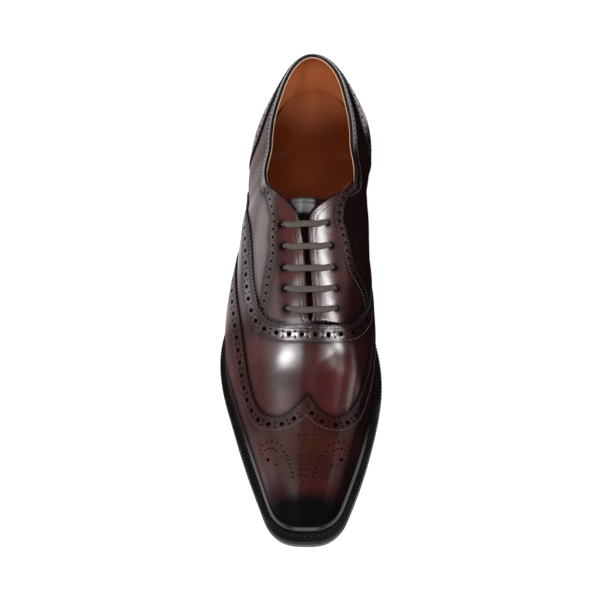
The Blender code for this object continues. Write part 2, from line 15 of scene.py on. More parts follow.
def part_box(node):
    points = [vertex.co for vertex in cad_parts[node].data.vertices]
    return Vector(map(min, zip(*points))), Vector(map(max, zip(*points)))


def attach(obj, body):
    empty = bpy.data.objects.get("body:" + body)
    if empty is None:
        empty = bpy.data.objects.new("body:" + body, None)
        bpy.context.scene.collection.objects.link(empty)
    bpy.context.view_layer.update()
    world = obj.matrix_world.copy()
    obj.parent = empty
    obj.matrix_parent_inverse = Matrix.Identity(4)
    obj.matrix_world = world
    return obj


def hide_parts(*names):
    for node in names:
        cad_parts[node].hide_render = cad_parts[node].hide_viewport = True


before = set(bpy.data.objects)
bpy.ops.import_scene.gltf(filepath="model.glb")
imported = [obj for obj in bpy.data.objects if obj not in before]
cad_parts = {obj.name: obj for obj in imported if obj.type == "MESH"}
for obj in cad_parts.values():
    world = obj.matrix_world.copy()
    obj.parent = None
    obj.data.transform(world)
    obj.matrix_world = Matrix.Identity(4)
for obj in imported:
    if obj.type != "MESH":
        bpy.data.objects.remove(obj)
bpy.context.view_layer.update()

# %% [markdown]
# ## Units and places
#
# A shoemaker measures a shoe along its length from the back of the heel. These distances are called
# stations here, in millimetres. One helper turns a point (x, station, height) into the frame's metres,
# with the toe towards -Y and the wearer's inner side towards +X.

# %% units and the shoe's frame
MM = 0.001
LATERAL, MEDIAL = -1, 1
SIDES = (LATERAL, MEDIAL)
SHOE_LENGTH = 314.0
MID_X = -5.19
MID_STATION = SHOE_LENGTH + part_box("outsole")[0].y / MM


def in_frame(points):
    """Millimetre points (x, station, height) as metres in the finished frame."""
    x, station, height = np.moveaxis(np.asarray(points, float), -1, 0)
    return np.stack([x - MID_X, MID_STATION - station, height], axis=-1) * MM


def smooth(t):
    """Eases from 0 to 1 as t does, with level ends."""
    t = np.clip(t, 0, 1)
    return t**3 * (10 - 15 * t + 6 * t * t)


def window(value, start, start_run, end, end_run):
    """1 between a start and an end, with a soft run at both."""
    return smooth((value - start) / start_run) * smooth((end - value) / end_run)


def by_side(side, values):
    """Of a lateral and a medial value, the one for the side that each point lies on."""
    lateral, medial = values
    return np.where(np.asarray(side) < 0, lateral, medial)


def end_to_end(lateral, medial):
    """Two lines with one start, as one line from the lateral end to the medial end."""
    return np.concatenate([lateral[:, ::-1], medial[:, 1:]], axis=1)


print("station of the origin:", round(MID_STATION, 2))

# %% [markdown]
# ## The camera
#
# The photograph looks down on the toe from the front, about 62 degrees above the floor, with a long
# lens. The camera stands where the photographer stood. It is only turned towards the shoe and zoomed in,
# which changes no angle that the shoe is seen at.

# %% camera
VIEW_ELEVATION = np.radians(62.0)
VIEW_TURN = np.radians(-0.439)
VIEW_DISTANCE = 2200.0
VIEW_AXIS_X, VIEW_AXIS_UP = 45.94, 19.775
VIEW_STATION = 157.0
IMAGE_SIZE, SENSOR = 600.0, 36.0
PHOTO_FOCAL = 2660.9
SHOE_PIXEL = (236.5, 303.0)
ZOOM = 1.3


def photo_to_frame(vector):
    """Direction in the photograph's axes, which are turned a little against the shoe's."""
    x, y, z = vector
    cosine, sine = np.cos(VIEW_TURN), np.sin(VIEW_TURN)
    return np.array((x * cosine + y * sine, -x * sine + y * cosine, z))


def make_camera():
    sine, cosine = np.sin(VIEW_ELEVATION), np.cos(VIEW_ELEVATION)
    right = photo_to_frame((1, 0, 0))
    up, forward = photo_to_frame((0, sine, cosine)), photo_to_frame((0, cosine, -sine))
    stand = VIEW_AXIS_X * right + VIEW_AXIS_UP * up - VIEW_DISTANCE * forward
    stand = stand + np.array((-MID_X, MID_STATION - VIEW_STATION, 0))
    half = IMAGE_SIZE / 2
    aim = forward * PHOTO_FOCAL + right * (SHOE_PIXEL[0] - half) - up * (SHOE_PIXEL[1] - half)
    aim = aim / np.linalg.norm(aim)
    right = right - right.dot(aim) * aim
    right = right / np.linalg.norm(right)
    turned = np.column_stack([right, np.cross(right, aim), -aim])
    data = bpy.data.cameras.new("camera")
    data.sensor_width = SENSOR
    data.lens = PHOTO_FOCAL * ZOOM * SENSOR / IMAGE_SIZE
    data.clip_end = 100.0
    camera = bpy.data.objects.new("camera", data)
    bpy.context.scene.collection.objects.link(camera)
    camera.matrix_world = Matrix.Translation(Vector(stand * MM)) @ Matrix(turned.tolist()).to_4x4()
    bpy.context.scene.camera = camera
    return camera


camera = make_camera()
print("camera at", [round(x, 3) for x in camera.location], "lens", round(camera.data.lens, 1))

# %% [markdown]
# ## The last
#
# A last is the wooden foot that an upper is pulled over, so every piece of leather here lies on one
# function that describes it. A section runs from the feather line at the sole (row 0) to the ridge over
# the foot (row 1). Sections follow a path from the back of the heel, round its side and on to the toe.
# The tables are the ones that the solids were made from. Only the lacing slit is a little wider here, and
# the welt is flush with the sole.

# %% sole and last sizes
GAP = 0.3
SOLE_THICK, WELT_THICK, INSOLE_THICK = 5.0, 3.0, 3.6
WELT_SETBACK, WELT_UNDER_UPPER = -0.1, 2.6
HEEL_HEIGHT, TOP_PIECE_THICK, HEEL_TAPER = 24.0, 6.0, 0.95
HEEL_AXIS, HEEL_BACK, BREAST, BREAST_BLEND = 55.0, 3.5, 62.0, 6.0
TREAD_REAR, TREAD_FRONT, TOE_SPRING, SOLE_TOE_RUN = 168.0, 220.0, 10.0, 20.0
LAST_TIP, PATH_BACK, HEEL_STRETCH = 303.2, -17.0, 55.0 / 36.0
TOE_WIDTH_RUN, TOE_WIDTH_POWER = 15.0, 3.0
TOE_HEIGHT_RUN, TOE_HEIGHT_POWER = 26.0, 2.4
SLIT_HALF, SLIT_SPREAD, SLIT_ROUND, SLIT_END = 2.0, 0.9, 180.0, 189.0
FEATHER_RISE = SOLE_THICK + WELT_THICK + 2 * GAP
FAN = (HEEL_AXIS - PATH_BACK) / (np.pi / 2)

# Sole outline: station, lateral and medial half-width
SOLE_ROWS = (
    (0, 33.0, 33.0), (30, 33.0, 33.0), (55, 33.2, 32.6), (85, 34.2, 29.8), (110, 37.6, 28.6),
    (135, 44.2, 31.6), (155, 50.6, 36.6), (172, 54.8, 41.2), (187, 55.9, 44.2), (200, 54.8, 45.4),
    (212, 52.4, 45.2), (225, 48.7, 43.6), (240, 44.4, 40.8), (265, 36.7, 34.9), (290, 28.0, 27.3),
    (314, 19.4, 18.8),
)
LAST_COLUMNS = (
    "path", "feather_lat", "feather_med", "side_lat", "side_med", "side_rise",
    "shoulder_lat", "shoulder_med", "shoulder_z", "crown", "ridge_x", "ridge_z",
)
LAST_ROWS = (
    (-17, 31.4, 31.4, 33.2, 33.2, 18, 30.0, 30.0, 89.0, 12.0, 0.0, 118.0),
    (10, 30.4, 31.2, 32.4, 34.2, 18, 26.2, 28.0, 86.7, 12.0, 0.8, 118.0),
    (32, 30.2, 31.0, 33.8, 36.2, 18, 23.4, 24.8, 83.2, 12.0, 0.5, 117.0),
    (55, 30.8, 30.2, 36.6, 37.0, 19, 24.6, 25.4, 79.0, 12.0, 0.0, 115.0),
    (80, 30.8, 27.2, 39.4, 36.2, 21, 27.0, 28.0, 77.2, 13.0, -1.0, 111.0),
    (105, 34.0, 25.6, 38.8, 33.0, 25, 26.4, 27.4, 88.0, 14.0, -2.5, 104.5),
    (125, 37.6, 26.0, 40.6, 33.2, 26, 25.4, 24.0, 86.0, 14.5, -3.5, 97.5),
    (145, 42.2, 29.4, 44.4, 35.0, 24, 28.0, 25.0, 77.0, 15.0, -1.2, 88.5),
    (165, 46.4, 33.4, 48.8, 36.8, 20, 32.0, 27.5, 68.0, 16.0, 0.5, 79.5),
    (188, 48.0, 36.4, 49.2, 38.2, 15, 34.0, 30.0, 59.0, 17.0, 2.0, 69.5),
    (210, 44.2, 37.0, 44.6, 37.8, 13, 34.0, 30.5, 51.0, 17.0, 2.0, 60.0),
    (230, 38.4, 34.4, 38.6, 34.8, 12, 32.0, 28.5, 44.0, 16.0, 1.0, 52.3),
    (250, 32.0, 30.4, 32.2, 30.6, 11, 28.2, 26.2, 38.5, 14.0, 0.0, 46.3),
    (270, 25.7, 25.1, 25.8, 25.2, 10, 23.4, 22.8, 34.0, 12.0, -1.0, 41.6),
    (290, 19.3, 18.9, 19.4, 19.0, 9, 18.0, 17.6, 31.0, 9.5, -1.5, 38.4),
    (306, 14.0, 13.6, 14.0, 13.6, 7, 13.0, 12.6, 29.5, 7.0, -1.5, 36.4),
)
# Side view of the collar and of the rounded tops of the facings: station and height
TOPLINE_ROWS = (
    (0, 91.0), (9, 89.0), (30, 84.5), (55, 79.0), (76, 76.8), (92, 80.5),
    (104, 88.5), (113, 94.3), (120, 96.2), (127, 95.8), (133, 93.6),
)


def spline(rows, column=1, level_start=False):
    """A smooth curve through one column of a table, held past its ends. It may also start level."""
    table = np.asarray(rows, float)
    at, value = table[:, 0], table[:, column]
    step, count = np.diff(at), len(at)
    matrix, right = np.eye(count), np.zeros(count)
    for i in range(1, count - 1):
        matrix[i, i - 1:i + 2] = step[i - 1], 2 * (step[i - 1] + step[i]), step[i]
        right[i] = 6 * ((value[i + 1] - value[i]) / step[i] - (value[i] - value[i - 1]) / step[i - 1])
    if level_start:
        matrix[0, :2] = 2 * step[0], step[0]
        right[0] = 6 * (value[1] - value[0]) / step[0]
    bend = np.linalg.solve(matrix, right)

    def curve(x):
        x = np.clip(np.asarray(x, float), at[0], at[-1])
        k = np.clip(np.searchsorted(at, x) - 1, 0, count - 2)
        left, ahead, width = x - at[k], at[k + 1] - x, step[k]
        cubic = (bend[k] * ahead**3 + bend[k + 1] * left**3) / (6 * width)
        start = (value[k] / width - bend[k] * width / 6) * ahead
        return cubic + start + (value[k + 1] / width - bend[k + 1] * width / 6) * left

    return curve


SOLE_HALF = {LATERAL: spline(SOLE_ROWS, 1), MEDIAL: spline(SOLE_ROWS, 2)}
LAST = {name: spline(LAST_ROWS, i, level_start=True) for i, name in enumerate(LAST_COLUMNS) if i > 0}
TOPLINE = spline(TOPLINE_ROWS)
print("sections in the last:", len(LAST_ROWS))

# %% [markdown]
# Each section is one quartic curve through the feather line, the widest place of the side, the shoulder and
# the ridge. Behind the heel's axis the sections stand like a fan, and at the toe they close to a point.

# %% points and normals of the last
PATH_NUDGE, ROW_NUDGE, PATH_END = 0.01, 0.002, 0.001


def closing(run, power):
    """Goes from 1 to 0 as run goes from 0 to 1, like a quarter of a rounded square."""
    return (1 - np.clip(run, 0, 1)**power)**(1 / power)


def tread(station):
    """Height of the outsole's underside: heel seat, arch, flat forefoot and toe spring."""
    station = np.asarray(station, float)
    spring = np.clip((station - TREAD_FRONT) / (SHOE_LENGTH - TREAD_FRONT), 0, None)
    climb = (TREAD_REAR - station) / (TREAD_REAR - BREAST + BREAST_BLEND)
    return TOE_SPRING * spring**2 + HEEL_HEIGHT * smooth(climb)


def quartic(t):
    u = 1 - t
    return u**4, 4 * t * u**3, 6 * t * t * u * u, 4 * t**3 * u, t**4


def inner_handles(feather, side, shoulder, crown, ridge, at_side, at_shoulder):
    """The two middle handles that make a quartic pass through the side and the shoulder."""
    a, b = quartic(at_side), quartic(at_shoulder)
    low = side - a[0] * feather - a[3] * crown - a[4] * ridge
    high = shoulder - b[0] * feather - b[3] * crown - b[4] * ridge
    scale = a[1] * b[2] - a[2] * b[1]
    return (low * b[2] - high * a[2]) / scale, (a[1] * high - b[1] * low) / scale


def last_point(path, row, side):
    """Point of the last: x, station and height. Sections fan round the heel behind its axis."""
    path, row, side = np.broadcast_arrays(*(np.asarray(v, float) for v in (path, row, side)))
    feather, flank, shoulder = (
        by_side(side, (LAST[name + end](path) for end in ("_lat", "_med")))
        for name in ("feather", "side", "shoulder")
    )
    turn = np.clip((HEEL_AXIS - path) / FAN, 0, np.pi / 2)
    ridge = LAST["ridge_x"](path) * side * np.cos(turn)
    crown = ridge + LAST["crown"](path)
    in_fan = path < HEEL_AXIS
    feather_station = np.where(in_fan, HEEL_AXIS - HEEL_STRETCH * feather * np.sin(turn), path)
    feather_z = tread(feather_station) + FEATHER_RISE
    rise, top = LAST["side_rise"](path), LAST["ridge_z"](path) - feather_z
    knee = LAST["shoulder_z"](path) - feather_z

    lower = np.hypot(flank - feather, rise)
    middle = np.hypot(shoulder - flank, knee - rise)
    whole = lower + middle + np.hypot(shoulder - ridge, top - knee)
    at_side, at_shoulder = lower / whole, (lower + middle) / whole
    out_low, out_high = inner_handles(feather, flank, shoulder, crown, ridge, at_side, at_shoulder)
    up_low, up_high = inner_handles(0, rise, knee, top, top, at_side, at_shoulder)

    b = quartic(row)
    reach = b[0] * feather + b[1] * out_low + b[2] * out_high + b[3] * crown + b[4] * ridge
    height = b[1] * up_low + b[2] * up_high + (b[3] + b[4]) * top
    reach = reach * closing((path - LAST_TIP) / TOE_WIDTH_RUN + 1, TOE_WIDTH_POWER)
    height = height * closing((path - LAST_TIP) / TOE_HEIGHT_RUN + 1, TOE_HEIGHT_POWER)
    station = np.where(in_fan, HEEL_AXIS - HEEL_STRETCH * reach * np.sin(turn), path)
    return np.stack([side * reach * np.cos(turn), station, feather_z + height], axis=-1)


def last_normal(path, row, side):
    """Outward unit normal of the last, equal for both sides at the back, the ridge and the toe's pole."""
    path, row, side = np.broadcast_arrays(*(np.asarray(v, float) for v in (path, row, side)))
    far = np.clip(path + PATH_NUDGE, None, LAST_TIP - PATH_END)
    near = np.minimum(np.clip(path - PATH_NUDGE, PATH_BACK, None), far - PATH_NUDGE / 2)
    low, high = np.clip(row - ROW_NUDGE, 0, 1), np.clip(row + ROW_NUDGE, 0, 1)
    along = last_point(far, row, side) - last_point(near, row, side)
    across = last_point(np.minimum(path, far), high, side) - last_point(np.minimum(path, far), low, side)
    sideways = np.stack([side, 0 * side, 0 * side], axis=-1)
    across = np.where((row > 1 - PATH_END)[..., None], -sideways, across)
    along = np.where((path < PATH_BACK + PATH_END)[..., None], sideways, along)
    normal = np.cross(along, across) * side[..., None]
    normal = normal / np.linalg.norm(normal, axis=-1, keepdims=True)
    return np.where((path > LAST_TIP - PATH_END)[..., None], (0.0, 1.0, 0.0), normal)


print("toe point:", last_point(LAST_TIP, 0.5, MEDIAL).round(1))

# %% [markdown]
# ## Creases
#
# Leather that a lace has pulled is never quite flat. Each crease is a short line on the last with a
# width and a depth. The wave has a trough on the line and a low ridge at each side of it. All the
# pieces use the same waves, so what is sewn together moves together.

# %% creases, given one by one
ROW_SPAN = 90.0
# Side, path and row of the deep end, path and row of the other end, half-width and depth
CREASES = (
    (LATERAL, 132, 0.97, 136, 0.80, 6.0, 0.12), (MEDIAL, 131, 0.97, 135, 0.80, 6.0, 0.12),
    (LATERAL, 146, 0.97, 146, 0.80, 5.5, 0.15), (MEDIAL, 145, 0.97, 146, 0.78, 5.5, 0.14),
    (LATERAL, 158, 0.97, 158, 0.79, 5.5, 0.16), (MEDIAL, 157, 0.97, 158, 0.77, 5.5, 0.14),
    (LATERAL, 170, 0.97, 171, 0.79, 5.5, 0.15), (MEDIAL, 169, 0.97, 170, 0.76, 5.5, 0.13),
    (LATERAL, 182, 0.96, 184, 0.80, 5.0, 0.12), (MEDIAL, 181, 0.96, 183, 0.78, 5.0, 0.12),
    (LATERAL, 95, 0.62, 116, 0.30, 9.0, 0.60), (MEDIAL, 92, 0.58, 118, 0.34, 9.0, 0.70),
    (LATERAL, 70, 0.52, 84, 0.28, 7.0, 0.40), (MEDIAL, 68, 0.52, 84, 0.26, 7.0, 0.40),
    (LATERAL, 218, 1.0, 214, 0.58, 11.0, 0.60), (MEDIAL, 218, 1.0, 214, 0.58, 11.0, 0.60),
)


def pressed(path, row, side):
    """How far the creases move the leather along its normal, in millimetres."""
    total = np.zeros(np.broadcast(path, row, side).shape)
    for on_side, path_0, row_0, path_1, row_1, half_width, depth in CREASES:
        run, climb = path_1 - path_0, (row_1 - row_0) * ROW_SPAN
        ahead, above = path - path_0, (row - row_0) * ROW_SPAN
        share = np.clip((ahead * run + above * climb) / (run * run + climb * climb), 0, 1)
        away = np.hypot(ahead - share * run, above - share * climb) / half_width
        total -= np.where(side == on_side, depth * (1 - share**2) * (1 - away**2) * np.exp(-away**2), 0)
    return total


def lifted(path, row, side, level):
    """Point at a level above the creased leather, or under it where the level is negative."""
    level = np.asarray(level + pressed(path, row, side))
    return last_point(path, row, side) + level[..., None] * last_normal(path, row, side)


SEARCH_STEPS = 800
FACING_START, FACING_END = 107.0, 189.2
SPREAD_START, SPREAD_RUN = 148.0, 18.0


def top_row(path, side):
    """Highest row of the upper's wall: under the topline, and clear of the lacing slit."""
    rows = np.linspace(0, 1, SEARCH_STEPS + 1)
    x, station, height = last_point(path, rows, side).T
    if path >= SLIT_END:
        return 1.0
    taper = np.clip((path - SLIT_ROUND) / (SLIT_END - SLIT_ROUND), 0, 1)
    half = SLIT_HALF * np.sqrt(1 - taper**2) + SLIT_SPREAD * smooth((SPREAD_START - path) / SPREAD_RUN)
    spare = TOPLINE(station) - height
    if path > FACING_START:
        spare = np.minimum(spare, np.abs(x - x[-1]) - half)
    over = np.argmax(spare < 0)
    share = spare[over - 1] / (spare[over - 1] - spare[over])
    return rows[over - 1] + share * (rows[over] - rows[over - 1])


TOP_STEPS = 420
TOP_PATHS = np.linspace(PATH_BACK, SLIT_END, TOP_STEPS)
TOP_ROWS = {side: np.array([top_row(path, side) for path in TOP_PATHS]) for side in SIDES}


def wall_top(path, side):
    """The wall's highest row at many places at once."""
    return by_side(side, (np.interp(path, TOP_PATHS, TOP_ROWS[s]) for s in SIDES))


print("creases:", len(CREASES), "deepest", max(row[-1] for row in CREASES), "mm")

# %% [markdown]
# ## Finishes
#
# Polished calf has three things that show: a colour that was rubbed darker at the toe, the sole and
# the seams, a hardly visible grain, and a wax coat that mirrors the light. The grain is one node
# group, used by every leather here with its own scale. Where the leather is rubbed, worn warm and waxed
# is stored on the pieces as attributes, so the finish follows the shoe's own form. The attribute of the
# rubbing also carries painted shade: on the inner wall, beside lapped edges, round eyelets and on the tongue.

# %% node helpers


def add_node(tree, kind, values=None, **settings):
    """One node with its settings and the values or links of its inputs."""
    made = tree.nodes.new(kind)
    for name, value in settings.items():
        setattr(made, name, value)
    for name, value in (values or {}).items():
        if isinstance(value, bpy.types.NodeSocket):
            tree.links.new(value, made.inputs[name])
        else:
            made.inputs[name].default_value = value
    return made


def stored(tree, name):
    """A number that the pieces keep for each of their points."""
    return add_node(tree, "ShaderNodeAttribute", attribute_name=name).outputs["Fac"]


def blended(tree, share, first, second):
    """Mix of two colours by a share."""
    made = tree.nodes.new("ShaderNodeMix")
    made.data_type = "RGBA"
    for socket, value in ((made.inputs[0], share), (made.inputs[6], first), (made.inputs[7], second)):
        if isinstance(value, bpy.types.NodeSocket):
            tree.links.new(value, socket)
        else:
            socket.default_value = value
    return made.outputs[2]


def scaled(tree, value, low, high):
    """Value from 0 to 1 taken to a range."""
    made = add_node(tree, "ShaderNodeMapRange", {"Value": value, "To Min": low, "To Max": high})
    return made.outputs["Result"]


def make_grain_group():
    """Calf grain: a fine pebble with pores, and a slow mottle for hand-rubbed colour."""
    tree = bpy.data.node_groups.new("calf_grain", "ShaderNodeTree")
    for name, default in (("Pebble", 1400.0), ("Mottle Size", 35.0)):
        socket = tree.interface.new_socket(name, in_out="INPUT", socket_type="NodeSocketFloat")
        socket.default_value = default
    for name in ("Height", "Mottle"):
        tree.interface.new_socket(name, in_out="OUTPUT", socket_type="NodeSocketFloat")
    given, result = tree.nodes.new("NodeGroupInput"), tree.nodes.new("NodeGroupOutput")
    where = tree.nodes.new("ShaderNodeTexCoord").outputs["Object"]
    pebble = add_node(tree, "ShaderNodeTexVoronoi", {"Vector": where, "Scale": given.outputs["Pebble"]})
    fine = add_node(tree, "ShaderNodeTexNoise", {"Vector": where, "Scale": 900.0, "Detail": 4.0})
    height = add_node(tree, "ShaderNodeMath", {0: pebble.outputs["Distance"], 1: fine.outputs["Fac"]})
    mottle = add_node(
        tree, "ShaderNodeTexNoise",
        {"Vector": where, "Scale": given.outputs["Mottle Size"], "Detail": 5.0, "Roughness": 0.6},
    )
    tree.links.new(height.outputs[0], result.inputs["Height"])
    tree.links.new(mottle.outputs["Fac"], result.inputs["Mottle"])
    return tree


GRAIN = make_grain_group()


def new_material(name):
    material = bpy.data.materials.new(name)
    material.use_nodes = True
    tree = material.node_tree
    return material, tree, tree.nodes["Principled BSDF"]


def grain_node(tree, pebble, mottle_size):
    made = add_node(tree, "ShaderNodeGroup", node_tree=GRAIN)
    made.inputs["Pebble"].default_value = pebble
    made.inputs["Mottle Size"].default_value = mottle_size
    return made


def bump(tree, shader, height, strength, distance):
    made = add_node(tree, "ShaderNodeBump", {"Height": height, "Strength": strength, "Distance": distance})
    tree.links.new(made.outputs["Normal"], shader.inputs["Normal"])


print("groups:", [group.name for group in bpy.data.node_groups])

# %% [markdown]
# One function makes the polished calf. It is used four times: for most panels, with softer wax for the wing
# cap and the tongue, and in black for the edges of the sole and of the collar.

# %% burgundy calf, rubbed black at the toe and the edges, and black where shade is painted
BURGUNDY_DEEP = (0.016, 0.0036, 0.0044, 1.0)
BURGUNDY_LIGHT = (0.043, 0.0088, 0.0088, 1.0)
CHESTNUT = (0.025, 0.0063, 0.0036, 1.0)
# One black for the rubbed toe and seams and for painted shade
RUBBED_AND_SHADE_BLACK = (0.0022, 0.0019, 0.0020, 1.0)


def make_calf(name, painted_shade, light, coat_roughness=0.23):
    """Polished leather. Attributes say where it is rubbed black or painted black as shade, worn warm and how
    much wax shines.
    """
    material, tree, shader = new_material(name)
    grain = grain_node(tree, pebble=1500.0, mottle_size=38.0)
    contrast = add_node(
        tree, "ShaderNodeMapRange",
        {"Value": grain.outputs["Mottle"], "From Min": 0.32, "From Max": 0.68},
    ).outputs["Result"]
    colour = blended(tree, contrast, painted_shade, light)
    colour = blended(tree, stored(tree, "warm"), colour, CHESTNUT)
    # Rubbed black and painted shade come from one attribute
    colour = blended(tree, stored(tree, "rubbed_and_shaded"), colour, RUBBED_AND_SHADE_BLACK)
    tree.links.new(colour, shader.inputs["Base Color"])
    tree.links.new(scaled(tree, contrast, low=0.46, high=0.40), shader.inputs["Roughness"])
    tree.links.new(stored(tree, "shine"), shader.inputs["Coat Weight"])
    shader.inputs["Specular IOR Level"].default_value = 0.0
    shader.inputs["Coat IOR"].default_value = 1.6
    shader.inputs["Coat Roughness"].default_value = coat_roughness
    bump(tree, shader, grain.outputs["Height"], strength=0.10, distance=0.06 * MM)
    return material


CALF = make_calf("burgundy_calf", BURGUNDY_DEEP, BURGUNDY_LIGHT)
WING_CALF = make_calf("wing_calf", BURGUNDY_DEEP, BURGUNDY_LIGHT, coat_roughness=0.36)
TONGUE_CALF = make_calf("tongue_calf", BURGUNDY_DEEP, BURGUNDY_LIGHT, coat_roughness=0.42)
BLACK_EDGE = make_calf("waxed_black", (0.0030, 0.0027, 0.0027, 1.0), (0.007, 0.0062, 0.0062, 1.0))
print("made", [leather.name for leather in (CALF, WING_CALF, TONGUE_CALF, BLACK_EDGE)])

# %% [markdown]
# The other finishes have no wax coat. The lining is tan, with painted shade deep in the shoe, the cut
# edges are dyed, and thread and lace are waxed but dull. Their colours are mixed by the same grain.

# %% lining, edges, rubber, thread and lace finishes


def make_plain_finish(name, dark, light, roughness, specular, pebble, mottle_size, relief):
    """Unpolished finish of one colour family with grain and mottle."""
    material, tree, shader = new_material(name)
    grain = grain_node(tree, pebble, mottle_size)
    tree.links.new(blended(tree, grain.outputs["Mottle"], dark, light), shader.inputs["Base Color"])
    low, high = roughness
    tree.links.new(scaled(tree, grain.outputs["Mottle"], low, high), shader.inputs["Roughness"])
    shader.inputs["Specular IOR Level"].default_value = specular
    bump(tree, shader, grain.outputs["Height"], relief, distance=0.1 * MM)
    return material


def make_lining():
    """Tan calf with painted shade where the attribute says so: deep in the shoe and beside the slit."""
    material, tree, shader = new_material("tan_lining")
    grain = grain_node(tree, pebble=1100.0, mottle_size=60.0)
    mottle = grain.outputs["Mottle"]
    # A lit tan and a shaded tan of the same leather, mixed by the painted shade
    light = blended(tree, mottle, (0.42, 0.118, 0.040, 1), (0.52, 0.160, 0.058, 1))
    dark = blended(tree, mottle, (0.052, 0.0082, 0.0009, 1), (0.072, 0.0118, 0.0015, 1))
    tree.links.new(blended(tree, stored(tree, "painted_shade"), light, dark), shader.inputs["Base Color"])
    tree.links.new(scaled(tree, mottle, low=0.55, high=0.68), shader.inputs["Roughness"])
    shader.inputs["Specular IOR Level"].default_value = 0.05
    bump(tree, shader, grain.outputs["Height"], strength=0.12, distance=0.1 * MM)
    return material


LINING = make_lining()
# Name, dark and light colour, roughness range, specular level, pebble and mottle scales, relief
PLAIN_FINISHES = (
    ("dyed_cut_edge", (0.004, 0.002, 0.002, 1), (0.010, 0.005, 0.005, 1), (0.5, 0.65), 0.1, 900, 120, 0.15),
    ("pale_lining_edge", (0.30, 0.17, 0.115, 1), (0.42, 0.25, 0.18, 1), (0.5, 0.65), 0.2, 900, 120, 0.15),
    ("heel_rubber", (0.010, 0.010, 0.010, 1), (0.018, 0.018, 0.018, 1), (0.62, 0.75), 0.5, 700, 200, 0.2),
    # Black of the discs that paint the shade in the holes
    ("hole_shade_black", (0.0012, 0.001, 0.001, 1), (0.003, 0.002, 0.002, 1), (0.8, 0.9), 0.0, 900, 100, 0.1),
    ("welt_thread", (0.003, 0.0028, 0.0028, 1), (0.009, 0.0085, 0.008, 1), (0.42, 0.55), 0.3, 2500, 300, 0.2),
)
CUT_EDGE, LINING_EDGE, RUBBER, HOLE_DARK, WELT_THREAD = (make_plain_finish(*row) for row in PLAIN_FINISHES)


def make_thread():
    """Waxed thread. An attribute says which seams were sewn with the lighter one."""
    material, tree, shader = new_material("waxed_thread")
    grain = grain_node(tree, pebble=2500.0, mottle_size=300.0)
    colour = blended(tree, stored(tree, "light"), (0.0045, 0.003, 0.003, 1), (0.060, 0.042, 0.037, 1))
    tree.links.new(colour, shader.inputs["Base Color"])
    tree.links.new(scaled(tree, grain.outputs["Mottle"], low=0.42, high=0.6), shader.inputs["Roughness"])
    shader.inputs["Specular IOR Level"].default_value = 0.3
    bump(tree, shader, grain.outputs["Height"], strength=0.2, distance=0.1 * MM)
    return material


THREAD = make_thread()


def make_lace_cloth():
    """Waxed flat lace: fine herringbone, drawn on the lace's own length and width."""
    material, tree, shader = new_material("waxed_lace")
    where = add_node(tree, "ShaderNodeUVMap", uv_map="weave").outputs["UV"]
    plait = add_node(
        tree, "ShaderNodeTexWave", {"Vector": where, "Scale": 1.0, "Distortion": 0.6, "Detail": 1.0},
        wave_type="BANDS", bands_direction="DIAGONAL",
    )
    grain = grain_node(tree, pebble=2200.0, mottle_size=260.0)
    both = {0: plait.outputs["Fac"], 1: grain.outputs["Mottle"]}
    share = add_node(tree, "ShaderNodeMath", both, operation="MULTIPLY")
    colour = blended(tree, share.outputs[0], (0.034, 0.0265, 0.023, 1), (0.100, 0.080, 0.069, 1))
    tree.links.new(colour, shader.inputs["Base Color"])
    shader.inputs["Roughness"].default_value = 0.62
    shader.inputs["Specular IOR Level"].default_value = 0.2
    bump(tree, shader, plait.outputs["Fac"], strength=0.5, distance=0.2 * MM)
    return material


LACE_CLOTH = make_lace_cloth()
print("materials:", [material.name for material in bpy.data.materials if material.users == 0])

# %% [markdown]
# ## Laying a grid on a form
#
# Many pieces start as Blender's own grid, which is flat and even. Every point of it is then moved to
# its place on the last or the sole, the points that meet are merged in edit mode, and a Solidify
# modifier gives the sheet its thickness.

# %% wrap a grid
MERGE_DISTANCE = 0.02 * MM
SMOOTH_ANGLE = np.radians(40)


def only(piece):
    """Select one object and nothing else."""
    bpy.ops.object.select_all(action="DESELECT")
    piece.select_set(True)
    bpy.context.view_layer.objects.active = piece


def apply_modifier(piece, kind, **settings):
    only(piece)
    bpy.ops.object.modifier_add(type=kind)
    made = piece.modifiers[-1]
    for name, value in settings.items():
        setattr(made, name, value)
    bpy.ops.object.modifier_apply(modifier=made.name)


def smooth_shaded(piece):
    only(piece)
    bpy.ops.object.shade_smooth_by_angle(angle=SMOOTH_ANGLE)


def thickened(piece, thickness, **settings):
    """Give a sheet its thickness, under its face."""
    apply_modifier(piece, "SOLIDIFY", thickness=thickness * MM, offset=-1.0, **settings)


def edited(piece, *steps):
    """Edit mode on all of a piece: operators with their settings, one after the other."""
    only(piece)
    bpy.ops.object.mode_set(mode="EDIT")
    bpy.ops.mesh.select_all(action="SELECT")
    for operator, settings in steps:
        operator(**settings)
    bpy.ops.object.mode_set(mode="OBJECT")


def merged(piece):
    """Join the points that meet."""
    edited(
        piece, (bpy.ops.mesh.remove_doubles, {"threshold": MERGE_DISTANCE}),
        (bpy.ops.mesh.dissolve_degenerate, {"threshold": MERGE_DISTANCE / 10}))


def faced_out(piece):
    """Turn the faces of closed meshes outwards."""
    edited(piece, (bpy.ops.mesh.normals_make_consistent, {"inside": False}))


def turned_out(piece, core=(0.0, 0.0, 0.024)):
    """Flip an open sheet whose faces look at the shoe's core."""
    mesh = piece.data
    areas, normals, centres = (np.empty(len(mesh.polygons) * n) for n in (1, 3, 3))
    mesh.polygons.foreach_get("area", areas)
    mesh.polygons.foreach_get("normal", normals)
    mesh.polygons.foreach_get("center", centres)
    outward = (centres.reshape(-1, 3) - core) * (1, 0, 1)
    if (areas * (normals.reshape(-1, 3) * outward).sum(axis=1)).sum() < 0:
        mesh.flip_normals()


def new_piece(name, points, faces):
    """An object made of millimetre points and faces."""
    mesh = bpy.data.meshes.new(name)
    mesh.from_pydata(in_frame(points).tolist(), [], faces)
    piece = bpy.data.objects.new(name, mesh)
    bpy.context.scene.collection.objects.link(piece)
    return piece


